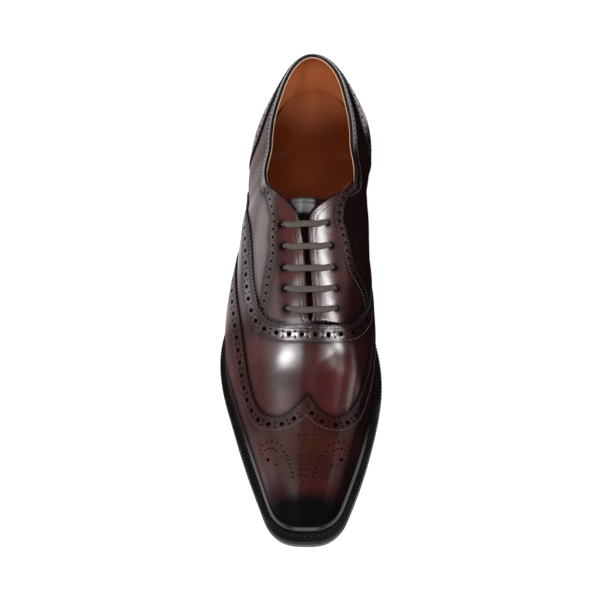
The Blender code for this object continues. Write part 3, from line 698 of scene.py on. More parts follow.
def wrap(name, columns, rows, place):
    """A flat grid laid on a form: place(u, v), both from 0 to 1, gives millimetre points."""
    bpy.ops.object.select_all(action="DESELECT")
    bpy.ops.mesh.primitive_grid_add(x_subdivisions=columns, y_subdivisions=rows, size=2.0)
    piece = bpy.context.object
    piece.name = piece.data.name = name
    flat = np.empty(len(piece.data.vertices) * 3)
    piece.data.vertices.foreach_get("co", flat)
    u, v = (flat.reshape(-1, 3)[:, :2].T + 1) / 2
    piece.data.vertices.foreach_set("co", in_frame(place(u, v)).ravel())
    piece.data.update()
    return piece


def dress(piece, material, slot, *nodes):
    """Give a piece its finish, the body that it rides on and the solids that it stands for."""
    if piece.data.materials:
        piece.data.materials[0] = material
    else:
        piece.data.materials.append(material)
    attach(piece, "root")
    if nodes:
        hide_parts(*nodes)
    print(piece.name, "faces", len(piece.data.polygons))
    return piece


def store(piece, name, values):
    """Keep one number for each point of a piece, for its material."""
    made = piece.data.attributes.new(name, "FLOAT", "POINT")
    made.data.foreach_set("value", np.asarray(values, np.float32))


def vertex_points(piece):
    """Places of a piece's points, in millimetres of the frame."""
    return np.array([tuple(vertex.co) for vertex in piece.data.vertices]) / MM


def stations(piece):
    return MID_STATION - vertex_points(piece)[:, 1]


def polished(piece, share):
    """The same share of wax shine all over a piece."""
    store(piece, "shine", np.full(len(piece.data.vertices), share))


print("grid helpers ready")

# %% [markdown]
# ## Flat patterns
#
# A clicker cuts leather flat, punches it and pinks its edges, and only then is it pulled over the last.
# The same order is used here. Two flat charts unroll the last without much stretch: the crown chart
# measures outwards from the ridge, for pieces that cross the toe, and the wall chart measures up from
# the sole, for pieces that go round the heel.

# %% the two flat charts
CHART_STEPS, TOE_CHART_STEPS, CHART_ROWS = 500, 200, 60
toe_start = LAST_TIP - TOE_HEIGHT_RUN
toe_run = 1 - (1 - np.linspace(0, 1, TOE_CHART_STEPS)[1:-1])**3
STOPS = np.concatenate([np.linspace(PATH_BACK, toe_start, CHART_STEPS), toe_start + TOE_HEIGHT_RUN * toe_run])


def run_lengths(points):
    """Length walked along a line of points, from 0."""
    return np.concatenate([[0.0], np.cumsum(np.linalg.norm(np.diff(points, axis=0), axis=-1))])


LENGTHS = sum(run_lengths(last_point(STOPS, 0.5, side)) for side in SIDES) / 2
GIRTHS = {
    side: np.linalg.norm(
        np.diff(last_point(STOPS[:, None], np.linspace(0, 1, CHART_ROWS + 1), side), axis=1), axis=-1
    ).sum(axis=1)
    for side in SIDES
}


def girth(path, side):
    return by_side(side, (np.interp(path, STOPS, GIRTHS[s]) for s in SIDES))


def to_crown(path, row, side):
    return np.stack([side * (1 - row) * girth(path, side), np.interp(path, STOPS, LENGTHS)], axis=-1)


def from_crown(flat):
    side = by_side(flat[..., 0], SIDES)
    path = np.interp(flat[..., 1], LENGTHS, STOPS)
    return path, np.clip(1 - np.abs(flat[..., 0]) / girth(path, side), 0, 1), side


def to_wall(path, row, side):
    return np.stack([side * np.interp(path, STOPS, LENGTHS), row * girth(path, side)], axis=-1)


def from_wall(flat):
    side = by_side(flat[..., 0], SIDES)
    path = np.interp(np.abs(flat[..., 0]), LENGTHS, STOPS)
    return path, np.clip(flat[..., 1] / girth(path, side), 0, 1), side


CROWN, WALL = (to_crown, from_crown), (to_wall, from_wall)


def on_form(flat, chart, level=0.0):
    """Millimetre points on the last for points of a flat chart."""
    path, row, side = chart[1](flat)
    return lifted(path, row, side, level)


def facing(flat, chart):
    return last_normal(*chart[1](flat))


print("half girth at the ball:", girth(188, LATERAL).round(1), girth(188, MEDIAL).round(1))

# %% [markdown]
# Teeth, stitches and holes are measured on the leather, not on the chart. So lines are walked in
# millimetres on the last, and a line beside another one is found from how the chart is stretched there.

# %% walking along and beside a line on the leather
FLAT_NUDGE = 0.05
KEEP_SHARE = 0.93


def at_stops(flat, walked, stops):
    return np.column_stack([np.interp(stops, walked, values) for values in flat.T])


def spaced(flat, chart, pitch, start=0.0):
    """Points of a line every pitch millimetres, as walked on the leather."""
    walked = run_lengths(on_form(flat, chart))
    count = int((walked[-1] - start) // pitch)
    return at_stops(flat, walked, start + np.arange(count + 1) * pitch)


def fitted(flat, chart, pitch):
    """Points of a line from end to end, with a pitch that divides it evenly."""
    walked = run_lengths(on_form(flat, chart))
    count = max(2, round(walked[-1] / pitch))
    return at_stops(flat, walked, np.linspace(0, walked[-1], count + 1))


def stretch(flat, chart):
    """Steps on the last for a flat millimetre along each axis, and their three products."""
    nudges = np.array(((FLAT_NUDGE, 0.0), (0.0, FLAT_NUDGE)))
    u, v = ((on_form(flat + n, chart) - on_form(flat - n, chart)) / (2 * FLAT_NUDGE) for n in nudges)
    return u, v, *((m * n).sum(axis=-1) for m, n in ((u, u), (u, v), (v, v)))


def unit(vectors):
    return vectors / np.maximum(np.linalg.norm(vectors, axis=-1, keepdims=True), 1e-9)


def beside(flat, chart, distance, keep_all=False):
    """Line at a distance to the left of a line, on the leather. Loops at inner corners are dropped."""
    across, along, a, b, c = stretch(flat, chart)
    here = on_form(flat, chart)
    left = np.cross(facing(flat, chart), unit(np.gradient(here, axis=0)))
    p, q = (across * left).sum(axis=-1), (along * left).sum(axis=-1)
    spread = a * c - b * b
    moved = flat + distance * np.stack([(c * p - b * q) / spread, (a * q - b * p) / spread], axis=-1)
    if keep_all:
        return moved
    apart = np.linalg.norm(on_form(moved, chart)[:, None] - here[None], axis=-1).min(axis=1)
    return moved[apart > KEEP_SHARE * abs(distance)]


def pinked(flat, chart, pitch, depth):
    """Saw-toothed edge: every second point is moved in by the depth of a tooth."""
    line = fitted(flat, chart, pitch / 2)
    inner = beside(line, chart, depth, keep_all=True)
    odd = np.arange(len(line)) % 2 == 1
    return np.where(odd[:, None], inner, line)


print("line helpers ready")

# %% [markdown]
# ## Where the panels end
#
# Two tables give the edges of the vamp and of the wing cap from the middle of the foot to the heel,
# and two shorter ones the edges of the counter and of the eyestays. They are the edges of the solids, and
# the eyestays run on a little under the vamp.

# %% panel edges
# Path and row, from the middle of the foot to the heel
VAMP_ROWS = {
    LATERAL: (
        (190.5, 1.0), (190.2, 0.92), (190.0, 0.86), (189.3, 0.8), (187.5, 0.745), (184.5, 0.7),
        (178.0, 0.665), (166.0, 0.643), (146.0, 0.63), (124.0, 0.6), (105.0, 0.45), (88.0, 0.23),
        (78.0, 0.06),
    ),
    MEDIAL: (
        (190.5, 1.0), (190.2, 0.92), (190.0, 0.85), (189.0, 0.79), (187.0, 0.71), (183.0, 0.65),
        (176.0, 0.585), (163.0, 0.485), (145.0, 0.4), (126.0, 0.33), (108.0, 0.26), (92.0, 0.17),
        (80.0, 0.06),
    ),
}
WING_ROWS = {
    LATERAL: (
        (230.6, 1.0), (236.0, 0.925), (240.0, 0.868), (242.8, 0.8), (243.6, 0.72), (241.5, 0.632),
        (237.0, 0.57), (228.0, 0.52), (212.0, 0.503), (190.0, 0.507), (163.0, 0.485), (138.0, 0.41),
        (118.0, 0.27), (104.0, 0.12), (96.0, 0.05),
    ),
    MEDIAL: (
        (230.6, 1.0), (235.8, 0.942), (240.0, 0.876), (242.6, 0.81), (243.3, 0.734), (241.0, 0.648),
        (235.0, 0.573), (226.0, 0.515), (210.0, 0.47), (190.0, 0.44), (157.0, 0.36), (134.0, 0.255),
        (116.0, 0.16), (104.0, 0.09), (96.0, 0.05),
    ),
}
# Counter and eyestays: path, and the edge there as a share of the wall's height
COUNTER_EDGE = (
    (-17, 0.89), (5, 0.88), (22, 0.84), (38, 0.79), (50, 0.74), (58, 0.63), (66, 0.42), (74, 0.1),
)
EYESTAY_EDGE = {
    LATERAL: (
        (107, 0.94), (114, 0.89), (122, 0.845), (134, 0.79), (147, 0.765), (158, 0.735), (168, 0.705),
        (176, 0.675), (183, 0.655), (189.2, 0.645),
    ),
    MEDIAL: (
        (107, 0.95), (114, 0.91), (122, 0.84), (134, 0.745), (147, 0.7), (154, 0.655), (160, 0.575),
        (166, 0.52), (176, 0.49), (189.2, 0.48),
    ),
}
EDGE_POINTS = 600


def panel_edge(rows):
    """Path, row and side along a panel's edge, from the lateral heel over the ridge to the medial heel."""
    ends = []
    for side in SIDES:
        numbered = np.column_stack([np.linspace(0, 1, len(rows[side])), rows[side]])
        along = np.linspace(0, 1, EDGE_POINTS // 2 + 1)
        path, row = spline(numbered, 1)(along), np.clip(spline(numbered, 2)(along), 0, 1)
        ends.append(np.stack([path, row, np.full_like(path, side)]))
    return end_to_end(*ends)


def eyestay_row(path, side):
    """Row of the eyestays' outer edge."""
    return by_side(side, (spline(EYESTAY_EDGE[s])(path) for s in SIDES)) * wall_top(path, side)


def wall_line(shares, paths):
    """Path, row and side along a share of the wall's height, from the lateral side round the back."""
    ends = []
    for side in SIDES:
        row = np.asarray(shares) * wall_top(paths, side)
        ends.append(np.stack([paths, row, np.full_like(paths, side)]))
    return end_to_end(*ends)


VAMP_EDGE, WING_EDGE = panel_edge(VAMP_ROWS), panel_edge(WING_ROWS)
heel_paths = np.linspace(PATH_BACK, COUNTER_EDGE[-1][0], EDGE_POINTS // 2)
COUNTER_LINE = wall_line(spline(COUNTER_EDGE)(heel_paths), heel_paths)
print("wing edge runs", round(run_lengths(on_form(to_crown(*WING_EDGE), CROWN))[-1]), "mm")

# %% [markdown]
# ## Holes, seams and teeth of each edge
#
# A full brogue has the same trim on every edge: saw teeth, one or two lines of stitches, a row of big
# holes with pairs of pinholes between them, and one more line of stitches. One table gives the
# distances from the edge, in millimetres, and one function works out the lines.

# %% trim of the edges
TRIM_COLUMNS = ("stitch_lines", "hole_row", "hole_radius", "pitch", "pin_radius", "pin_apart")
TRIMS = {
    "vamp": ((1.6, 2.9, 10.4), 6.5, 1.45, 8.0, 0.62, 3.0),
    "wing": ((1.6, 8.4), 5.0, 1.45, 8.0, 0.65, 2.6),
    "counter": ((1.6, 8.0), 4.8, 1.3, 7.5, 0.6, 2.4),
    "eyestay": ((1.1, 5.6), 3.3, 0.85, 5.0, 0.0, 0.0),
    "collar": ((4.9,), 3.0, 0.72, 3.2, 0.0, 0.0),
}
TOOTH_PITCH, TOOTH_DEPTH = 2.4, 1.0
LOWEST_HOLE = 0.07


def trim_lines(name, edge, chart, sign):
    """Stitch lines and holes beside an edge. The sign says on which side of it the leather lies."""
    trim = dict(zip(TRIM_COLUMNS, TRIMS[name]))
    stitches = [beside(edge, chart, sign * distance) for distance in trim["stitch_lines"]]
    row = beside(edge, chart, sign * trim["hole_row"])
    walked = run_lengths(on_form(row, chart))[-1]
    start = walked / 2 % trim["pitch"]
    holes = [(spaced(row, chart, trim["pitch"], start), trim["hole_radius"])]
    if trim["pin_radius"]:
        between = spaced(row, chart, trim["pitch"], (start + trim["pitch"] / 2) % trim["pitch"])
        for shift in (-trim["pin_apart"] / 2, trim["pin_apart"] / 2):
            holes.append((beside(between, chart, shift, keep_all=True), trim["pin_radius"]))
    above = [chart[1](centres)[1] > LOWEST_HOLE for centres, _ in holes]
    return stitches, [(centres[keep], radius) for (centres, radius), keep in zip(holes, above)]


vamp_flat, wing_flat = to_crown(*VAMP_EDGE), to_crown(*WING_EDGE)
counter_flat = to_wall(*COUNTER_LINE)
TRIM_LINES = {
    "vamp": trim_lines("vamp", vamp_flat, CROWN, 1),
    "wing": trim_lines("wing", wing_flat, CROWN, 1),
    "counter": trim_lines("counter", counter_flat, WALL, -1),
}
print({name: sum(len(h[0]) for h in lines[1]) for name, lines in TRIM_LINES.items()}, "holes")

# %% [markdown]
# ## Cutting and punching a panel
#
# The outline, the circles of the holes and the lines where stitches pull the leather down are put
# into one flat triangulation, together with a fine lattice of points between them. The triangles
# inside the holes are thrown away. Then the sheet is laid on the last, point by point, and thickened.

# %% circles, lattice and nearest points
LATTICE = 1.5


def circles(centres, radius, chart, sides):
    """Flat outlines that are round on the leather, one for each centre."""
    a, b, c = (product[:, None] for product in stretch(centres, chart)[2:])
    angle = np.linspace(0, 2 * np.pi, sides, endpoint=False)
    first = np.sqrt(a)
    skew = b / first
    second = np.sqrt(c - skew * skew)
    x = radius * (np.cos(angle) / first - skew * np.sin(angle) / (first * second))
    return centres[:, None] + np.stack([x, radius * np.sin(angle) / second], axis=-1)


def lattice(outline):
    """Even triangular lattice over a flat outline's box."""
    low, high = outline.min(axis=0), outline.max(axis=0)
    x = np.arange(low[0], high[0], LATTICE)
    y = np.arange(low[1], high[1], LATTICE * np.sqrt(3) / 2)
    shift = (np.arange(len(y)) % 2) * LATTICE / 2
    return np.column_stack([(x + shift[:, None]).ravel(), np.repeat(y, len(x))])


def nearest(points, targets):
    """Distance from each point to the nearest target."""
    tree = kdtree.KDTree(len(targets))
    flat = targets.shape[1] == 2
    for i, target in enumerate(targets):
        tree.insert((*target, 0.0) if flat else target, i)
    tree.balance()
    return np.array([tree.find((*point, 0.0) if flat else point)[2] for point in points])


print("lattice step:", LATTICE, "mm")

# %% [markdown]
# Blender's own Delaunay triangulation joins the points. The outline and the circles of the holes are
# given to it as lines that it has to keep. Every point also knows how far the leather is pulled down there.

# %% triangulate
CLEAR_OF_LINES, HOLE_RIM = 0.95, 0.3
EDGE_DROP, STITCH_DROP, HOLE_DROP = 0.12, 0.08, 0.03
NO_HOLE = -1
INSIDE_ONLY, SAME_POINT = 1, 1e-5


def ring_edges(start, count):
    return [(start + i, start + (i + 1) % count) for i in range(count)]


def triangulated(outline, loops, lines):
    """Flat points, drops and triangles of a punched panel."""
    points, drops, hole_of, middles = [], [], [], []

    def add(group, drop, hole=NO_HOLE):
        points.append(group)
        drops.append(np.full(len(group), drop))
        hole_of.append(np.full(len(group), hole))

    add(outline, EDGE_DROP)
    edges = ring_edges(0, len(outline))
    for ring, rim in loops:
        for loop in ring:
            edges += ring_edges(sum(map(len, points)), len(loop))
            add(loop, HOLE_DROP, len(middles))
            middle = loop.mean(axis=0)
            middles.append((middle, np.linalg.norm(loop - middle, axis=1).max()))
        add(rim.reshape(-1, 2), 0.0)
    for line, drop in lines:
        for middle, radius in middles:
            line = line[np.linalg.norm(line - middle, axis=1) > radius + 2 * HOLE_RIM]
        add(line, drop)
    filling = lattice(outline)
    filling = filling[nearest(filling, np.concatenate(points)) > CLEAR_OF_LINES]
    for middle, radius in middles:
        filling = filling[np.linalg.norm(filling - middle, axis=1) > radius]
    add(filling, 0.0)
    vectors = [Vector(point) for point in np.concatenate(points)]
    found, _, faces, came_from, _, _ = delaunay_2d_cdt(vectors, edges, [], INSIDE_ONLY, SAME_POINT)
    source = np.array([ids[0] if ids else -1 for ids in came_from])
    faces = np.array(faces)
    hole = np.where(source >= 0, np.concatenate(hole_of)[source], NO_HOLE)[faces]
    in_hole = (hole[:, 0] != NO_HOLE) & (hole[:, 0] == hole[:, 1]) & (hole[:, 1] == hole[:, 2])
    used, faces = np.unique(faces[~in_hole], return_inverse=True)
    flat = np.array([tuple(point) for point in found])[used]
    return flat, np.where(source >= 0, np.concatenate(drops)[source], 0.0)[used], faces.reshape(-1, 3)


print("drops at edges, seams and holes:", EDGE_DROP, STITCH_DROP, HOLE_DROP, "mm")

# %% [markdown]
# ## Where the finish changes
#
# The toe, the seams and the foot of the wall are burnished darker, and wear warms the dye on top of the
# foot. Painted shade darkens the inner wall. Wax shines where it was brushed most. All these are shares
# from 0 to 1 for a place on the last, with soft runs between them. They could be painted by hand, but as
# functions they fit every piece.

# %% rubbed, painted shade, warm and shining places
# Share and reach of the dye in the seams, and of a fainter shade round them
SEAM_SHADES = ((0.6, 1.3), (0.3, 5.0))
# Black of the toe: share, path where it begins and its run
TOE_BLACK = ((0.3, 255, 25), (0.7, 285, 10))
FOOT_BLACK, FOOT_TOP_ROW, FOOT_RUN = 0.75, 0.34, 0.30
# Chestnut: share, middle and reach on the path, row where it begins and its run
WARM_PLACES = ((0.85, 264, 20, 0.5, 0.4), (0.45, 214, 16, 0.8, 0.2))
# Path, and row under which the inner wall gets painted shade
INNER_ROWS = (
    (-17, 0.30), (40, 0.36), (60, 0.50), (85, 0.74), (150, 0.76), (185, 0.84), (200, 0.75), (210, 0.70),
    (224, 0.60),
)
# Black share of the painted shade on the inner wall, and the runs of its edges
INNER_SHADE, INNER_RUN, INNER_START_RUN = 0.75, 0.14, 50.0
# Path, and share of the wax shine there
TOE_SHINE = (
    (228, 1.0), (236, 0.85), (246, 0.55), (256, 0.22), (268, 0.22), (277, 0.32), (283, 0.20), (287, 0.08),
    (292, 0.08), (296, 0.03), (304, 0.02),
)
# Dull places: sides, share, and windows of path and row, each as start, its run, end and its run
ALL_ROWS = (-1, 1, 2, 1)
DULL_PLACES = (
    ((LATERAL,), 0.85, (165, 25, 264, 24), (-1, 1, 0.76, 0.2)),
    ((LATERAL,), 0.8, (-100, 1, 190, 6), (0.76, 0.06, 2, 1)),
    ((LATERAL,), 0.25, (206, 8, 240, 6), ALL_ROWS),
    (SIDES, 0.8, (197, 6, 400, 1), (0.90, 0.07, 2, 1)),
)
# The vamp's dull inner side: share, what is added in front, paths where they begin, and runs
VAMP_DULL, VAMP_DULL_MORE, VAMP_DULL_START, VAMP_MORE_START, VAMP_DULL_RUN = 0.85, 0.13, 200, 212, 8
VAMP_DULL_LOW, VAMP_DULL_TOP, VAMP_ROW_RUN = 0.64, ((206, 0.85), (214, 0.97)), 0.06
RIM_SHINE, RIM_HEIGHT, RIM_RUN, RIM_START, RIM_START_RUN = 1.0, 5.5, 2.0, 225, 40


def seam_share(points):
    """Dark dye that collects in the seams, with a wider, fainter shade round them."""
    away = nearest(points, SEAM_POINTS)
    return sum(share * np.exp(-(away / reach)**2) for share, reach in SEAM_SHADES)


def inner_share(path, row, side):
    """Where the painted shade of the inner wall begins, under the turn of the facing and of the vamp."""
    begin = np.interp(path, *zip(*INNER_ROWS))
    return smooth((begin - row) / INNER_RUN) * smooth((path - PATH_BACK) / INNER_START_RUN) * (side > 0)


def rubbed_and_shade_share(path, row, side, points):
    """How much of the colour is black: rubbed at the toe, low on the sides and along the seams, and painted
    shade on the inner wall.
    """
    toe = sum(share * smooth((path - start) / run) for share, start, run in TOE_BLACK)
    foot = FOOT_BLACK * smooth((FOOT_TOP_ROW - row) / FOOT_RUN)
    # Painted shade on the inner wall
    inner = INNER_SHADE * inner_share(path, row, side)
    return 1 - (1 - toe) * (1 - foot) * (1 - inner) * (1 - seam_share(points))


def warm_share(path, row):
    """Where the dye is worn to chestnut: on top of the toe and of the vamp."""
    worn = 0
    for share, middle, reach, start, run in WARM_PLACES:
        worn = worn + share * np.exp(-((path - middle) / reach)**2) * smooth((row - start) / run)
    return np.clip(worn, 0, 1)


def above_feather(path, row, side):
    """Height over the sole's edge of the upper, in millimetres."""
    _, station, height = np.moveaxis(last_point(path, row, side), -1, 0)
    return height - tread(station) - FEATHER_RISE


def vamp_dull(path, row, side):
    """The dull inner side of the vamp, under the bright band of its top."""
    share = VAMP_DULL * (1 + VAMP_DULL_MORE * smooth((path - VAMP_MORE_START) / VAMP_DULL_RUN))
    top = np.interp(path, *zip(*VAMP_DULL_TOP))
    rows = window(row, VAMP_DULL_LOW, VAMP_ROW_RUN, top, VAMP_ROW_RUN)
    return share * rows * smooth((path - VAMP_DULL_START) / VAMP_DULL_RUN) * (side > 0)


def shine_share(path, row, side):
    """How much wax shows: less on the inner wall and in the dull places, more on the rim over the sole."""
    wax = np.interp(path, *zip(*TOE_SHINE)) * (1 - inner_share(path, row, side))
    wax = wax * (1 - vamp_dull(path, row, side))
    for sides, share, paths, rows in DULL_PLACES:
        wax = wax * (1 - share * window(path, *paths) * window(row, *rows) * np.isin(side, sides))
    rim = RIM_SHINE * smooth((RIM_HEIGHT - above_feather(path, row, side)) / RIM_RUN)
    return np.maximum(wax, rim * smooth((path - RIM_START) / RIM_START_RUN))


print("dull places:", len(DULL_PLACES), "warm places:", len(WARM_PLACES))

# %% [markdown]
# With these helpers one function can cut any panel. It punches the flat sheet, lays it on the last, stores
# the shares of its finish and thickens it inwards. The rim that this makes gets the dark dye of a cut edge.

# %% cut a panel
HOLE_SIDES, PIN_SIDES, PIN_LIMIT = 14, 8, 0.7
STITCH_STEP, SEAM_HALF, SEAM_SIDE_STEP = 0.9, 0.8, 1.2
# Painted shadow beside the edges that lie over a panel: black share, reach, and step and level of its marks
EDGE_SHADE, EDGE_SHADE_REACH, SHADE_STEP, SHADE_LEVEL = 0.85, 1.5, 1.0, 0.5
SEAM_DULL = 0.6


def edge_shade(points, lines):
    """Painted shadow on leather beside the cut edges that lie over it. Lines are given with their charts."""
    if not lines:
        return np.zeros(len(points))
    marks = [on_form(spaced(line, chart, SHADE_STEP), chart, SHADE_LEVEL) for line, chart in lines]
    away = nearest(points, in_frame(np.concatenate(marks)) / MM)
    return EDGE_SHADE * np.exp(-(away / EDGE_SHADE_REACH)**2)


def colour_by_place(piece, path, row, side, over=()):
    """Store where the finish is rubbed or darkened by painted shadow, where it is warm and where it shines.
    """
    points = vertex_points(piece)
    shade = edge_shade(points, over)
    store(piece, "rubbed_and_shaded", 1 - (1 - rubbed_and_shade_share(path, row, side, points)) * (1 - shade))
    store(piece, "warm", warm_share(path, row))
    store(piece, "shine", shine_share(path, row, side) * (1 - SEAM_DULL * seam_share(points)) * (1 - shade))


def cut_panel(name, chart, outline, trim, level, thickness, guides=(), over=()):
    """A punched, thickened panel on the last. Level gives the height of its top for path, row and side."""
    stitches, holes = trim
    loops = []
    for centres, radius in holes:
        sides = PIN_SIDES if radius < PIN_LIMIT else HOLE_SIDES
        loops.append(tuple(circles(centres, size, chart, sides) for size in (radius, radius + HOLE_RIM)))
    lines = [(spaced(line, chart, STITCH_STEP), STITCH_DROP) for line in stitches]
    for line in stitches:
        for shift in (-SEAM_HALF, SEAM_HALF):
            lines.append((spaced(beside(line, chart, shift), chart, SEAM_SIDE_STEP), 0.0))
    lines += [(guide, 0.0) for guide in guides]
    flat, drops, faces = triangulated(outline, loops, lines)
    path, row, side = chart[1](flat)
    top = level(path, row, side)
    piece = new_piece(name, lifted(path, row, side, top - drops), faces.tolist())
    turned_out(piece)
    colour_by_place(piece, path, row, side, over)
    piece.data.materials.append(CALF)
    piece.data.materials.append(CUT_EDGE)
    thickened(piece, thickness, material_offset_rim=1)
    smooth_shaded(piece)
    return piece


print("panel cutter ready")

# %% [markdown]
# ## Eyestays, collar and the edge of the wall
#
# The eyestays carry five holes each for the lace. Their outer edge has a row of small holes, and two
# lines of stitches follow the slit and the rounded top. The collar band goes round the ankle from one
# eyestay to the other.

# %% lines of the eyestays and the collar
BAND_SHARE, BAND_END = 0.915, 108.0
EYELET_RADIUS = 1.7
# Lace bars: lateral path, lateral row, medial path, medial row of the ends
LACE_ROWS = (
    (132.6, 0.84, 131.6, 0.83), (145.0, 0.835, 144.2, 0.82), (157.4, 0.828, 156.4, 0.808),
    (169.4, 0.826, 168.2, 0.796), (181.0, 0.828, 180.0, 0.797),
)
SLIT_STITCHES, FINE_TEETH = (1.7, 3.4), 0.8
FACING_STEPS, BAND_STEPS, SLIT_STEP = 260, 300, 1.0
SEAM_STEP, SEAM_LEVEL = 1.5, 1.0
EYESTAY_END = FACING_END - 0.6
facing_paths = np.linspace(FACING_START, EYESTAY_END, FACING_STEPS)


def eyestay_outer(side):
    return to_wall(facing_paths, eyestay_row(facing_paths, side), np.full_like(facing_paths, side))


def eyestay_lines(side):
    """Outline and trim of one eyestay on the wall chart."""
    outer = eyestay_outer(side)
    slit = to_wall(facing_paths, wall_top(facing_paths, side), np.full_like(facing_paths, side))
    stitches, holes = trim_lines("eyestay", outer, WALL, side)
    flat_stitches = [beside(slit, WALL, -side * distance) for distance in SLIT_STITCHES]
    column = 0 if side == LATERAL else 2
    ends = np.array(LACE_ROWS)[:, column:column + 2]
    eyelets = to_wall(ends[:, 0], ends[:, 1], np.full(len(ends), side))
    holes.append((eyelets, EYELET_RADIUS))
    edge = pinked(outer, WALL, TOOTH_PITCH * FINE_TEETH, side * TOOTH_DEPTH * FINE_TEETH)
    outline = np.concatenate([edge, fitted(slit[::-1], WALL, SLIT_STEP)])
    return outline, (stitches, holes), flat_stitches


EYESTAYS = {side: eyestay_lines(side) for side in SIDES}
band_paths = np.linspace(PATH_BACK, BAND_END, BAND_STEPS)
collar_top = to_wall(*wall_line(np.ones_like(band_paths), band_paths))
collar_low = to_wall(*wall_line(np.full_like(band_paths, BAND_SHARE), band_paths))
TRIM_LINES["collar"] = trim_lines("collar", collar_top, WALL, -1)

all_seams = [(line, CROWN) for name in ("vamp", "wing") for line in TRIM_LINES[name][0]]
all_seams += [(line, WALL) for name in ("counter", "collar") for line in TRIM_LINES[name][0]]
all_seams += [(line, WALL) for side in SIDES for line in EYESTAYS[side][1][0]]
seam_marks = [on_form(spaced(line, chart, SEAM_STEP), chart, SEAM_LEVEL) for line, chart in all_seams]
seam_marks += [on_form(spots, CROWN, SEAM_LEVEL) for spots, _ in TRIM_LINES["wing"][1]]
medial_edge_holes = EYESTAYS[MEDIAL][1][1][0][0]
seam_marks.append(on_form(medial_edge_holes, WALL, SEAM_LEVEL))
SEAM_POINTS = in_frame(np.concatenate(seam_marks)) / MM
print("seam lines:", len(all_seams), "points:", len(SEAM_POINTS))

# %% [markdown]
# ## The quarters and the lining
#
# The wall of the upper is two sheets: burgundy calf outside and tan lining inside, glued together. Both
# are one grid that starts at the toe on the lateral side, goes round the heel and comes back to the
# toe on the medial side. Its top row follows the collar, the facings and the slit.

# %% quarters and lining
CALF_THICK, LINING_LEVEL, LINING_THICK = 1.1, -1.15, 0.65
LOW_BLACK, LOW_HEIGHT, LOW_RUN = 0.75, 30, 20
# Painted shade on the inner wall: its black share and the run of its turn
INNER_WALL_SHADE, WALL_TURN = 0.88, 6
REAR_SHINE, FRONT_SHINE, REAR_END, REAR_RUN = 0.45, 0.55, 100, 15
# Where the lining gets painted shade: under a height, less so at the back, and beside the slit
DEEP_HEIGHT, DEEP_RUN, BACK_DEEP, FRONT_DEEP, BACK_END, BACK_RUN = 72, 36, 0.3, 0.7, 12, 40
SLIT_DEEP_START, SLIT_DEEP_RUN = 84, 24


def around(u):
    """Path and side for a place along a grid that goes round the heel."""
    signed = 2 * u - 1
    path = np.interp(np.abs(signed) * LENGTHS[-1], LENGTHS, STOPS)
    return path, by_side(signed, SIDES)


def wall_sheet(name, columns, rows, level):
    def place(u, v):
        path, side = around(u)
        return lifted(path, v * wall_top(path, side), side, level)

    piece = wrap(name, columns, rows, place)
    merged(piece)
    turned_out(piece)
    return piece


quarters = wall_sheet("quarters", columns=440, rows=54, level=0.0)
points, station = vertex_points(quarters), stations(quarters)
foot = LOW_BLACK * smooth((LOW_HEIGHT - (points[:, 2] - tread(station))) / LOW_RUN)
# Painted shade on the inner wall, which darkens it and dulls its wax
inner_wall = smooth((points[:, 0] + MID_X) / WALL_TURN)
# Painted shadow beside the vamp, counter, collar band and eyestays that lie over the quarters
over_quarters = [(vamp_flat, CROWN), (counter_flat, WALL), (collar_low, WALL)]
over_quarters += [(eyestay_outer(side), WALL) for side in SIDES]
shade = edge_shade(points, over_quarters)
dark = np.maximum(np.maximum(foot, INNER_WALL_SHADE * inner_wall), seam_share(points))
store(quarters, "rubbed_and_shaded", 1 - (1 - dark) * (1 - shade))
store(quarters, "warm", np.zeros(len(points)))
outer_shine = REAR_SHINE + FRONT_SHINE * smooth((station - REAR_END) / REAR_RUN)
store(quarters, "shine", outer_shine * (1 - inner_wall) * (1 - shade))
thickened(quarters, CALF_THICK)
smooth_shaded(quarters)
dress(quarters, CALF, "upper_leather", "upper")

lining = wall_sheet("lining", columns=260, rows=36, level=LINING_LEVEL)
height, station = vertex_points(lining)[:, 2], stations(lining)
low = smooth((DEEP_HEIGHT - height) / DEEP_RUN)
low = low * (BACK_DEEP + FRONT_DEEP * smooth((station - BACK_END) / BACK_RUN))
store(lining, "painted_shade", np.maximum(low, smooth((station - SLIT_DEEP_START) / SLIT_DEEP_RUN)))
lining.data.materials.append(LINING)
lining.data.materials.append(LINING_EDGE)
thickened(lining, LINING_THICK, material_offset_rim=1)
smooth_shaded(lining)
dress(lining, LINING, "lining_leather")

# %% [markdown]
# ## The panels
#
# Each panel is cut from its outline: the pinked edge that shows, and a plain edge under the next panel
# or down at the welt. Where a panel lies over another one it is lifted by that leather's thickness.

# %% vamp
VAMP_UNDERLAP = 1.16
VAMP_TOP, VAMP_THICK, EYESTAY_TOP = 1.0, 0.95, 0.8
LAP_ROWS, LAP_END, LAP_RUN = 0.05, 198, 8
PLAIN_STEP, GUIDE_STEP, GUIDES = 1.5, 1.0, (-0.1, -1.2)


def vamp_level(path, row, side):
    over_eyestay = smooth((row - eyestay_row(path, side) + LAP_ROWS) / LAP_ROWS)
    return VAMP_TOP + EYESTAY_TOP * over_eyestay * smooth((LAP_END - path) / LAP_RUN)


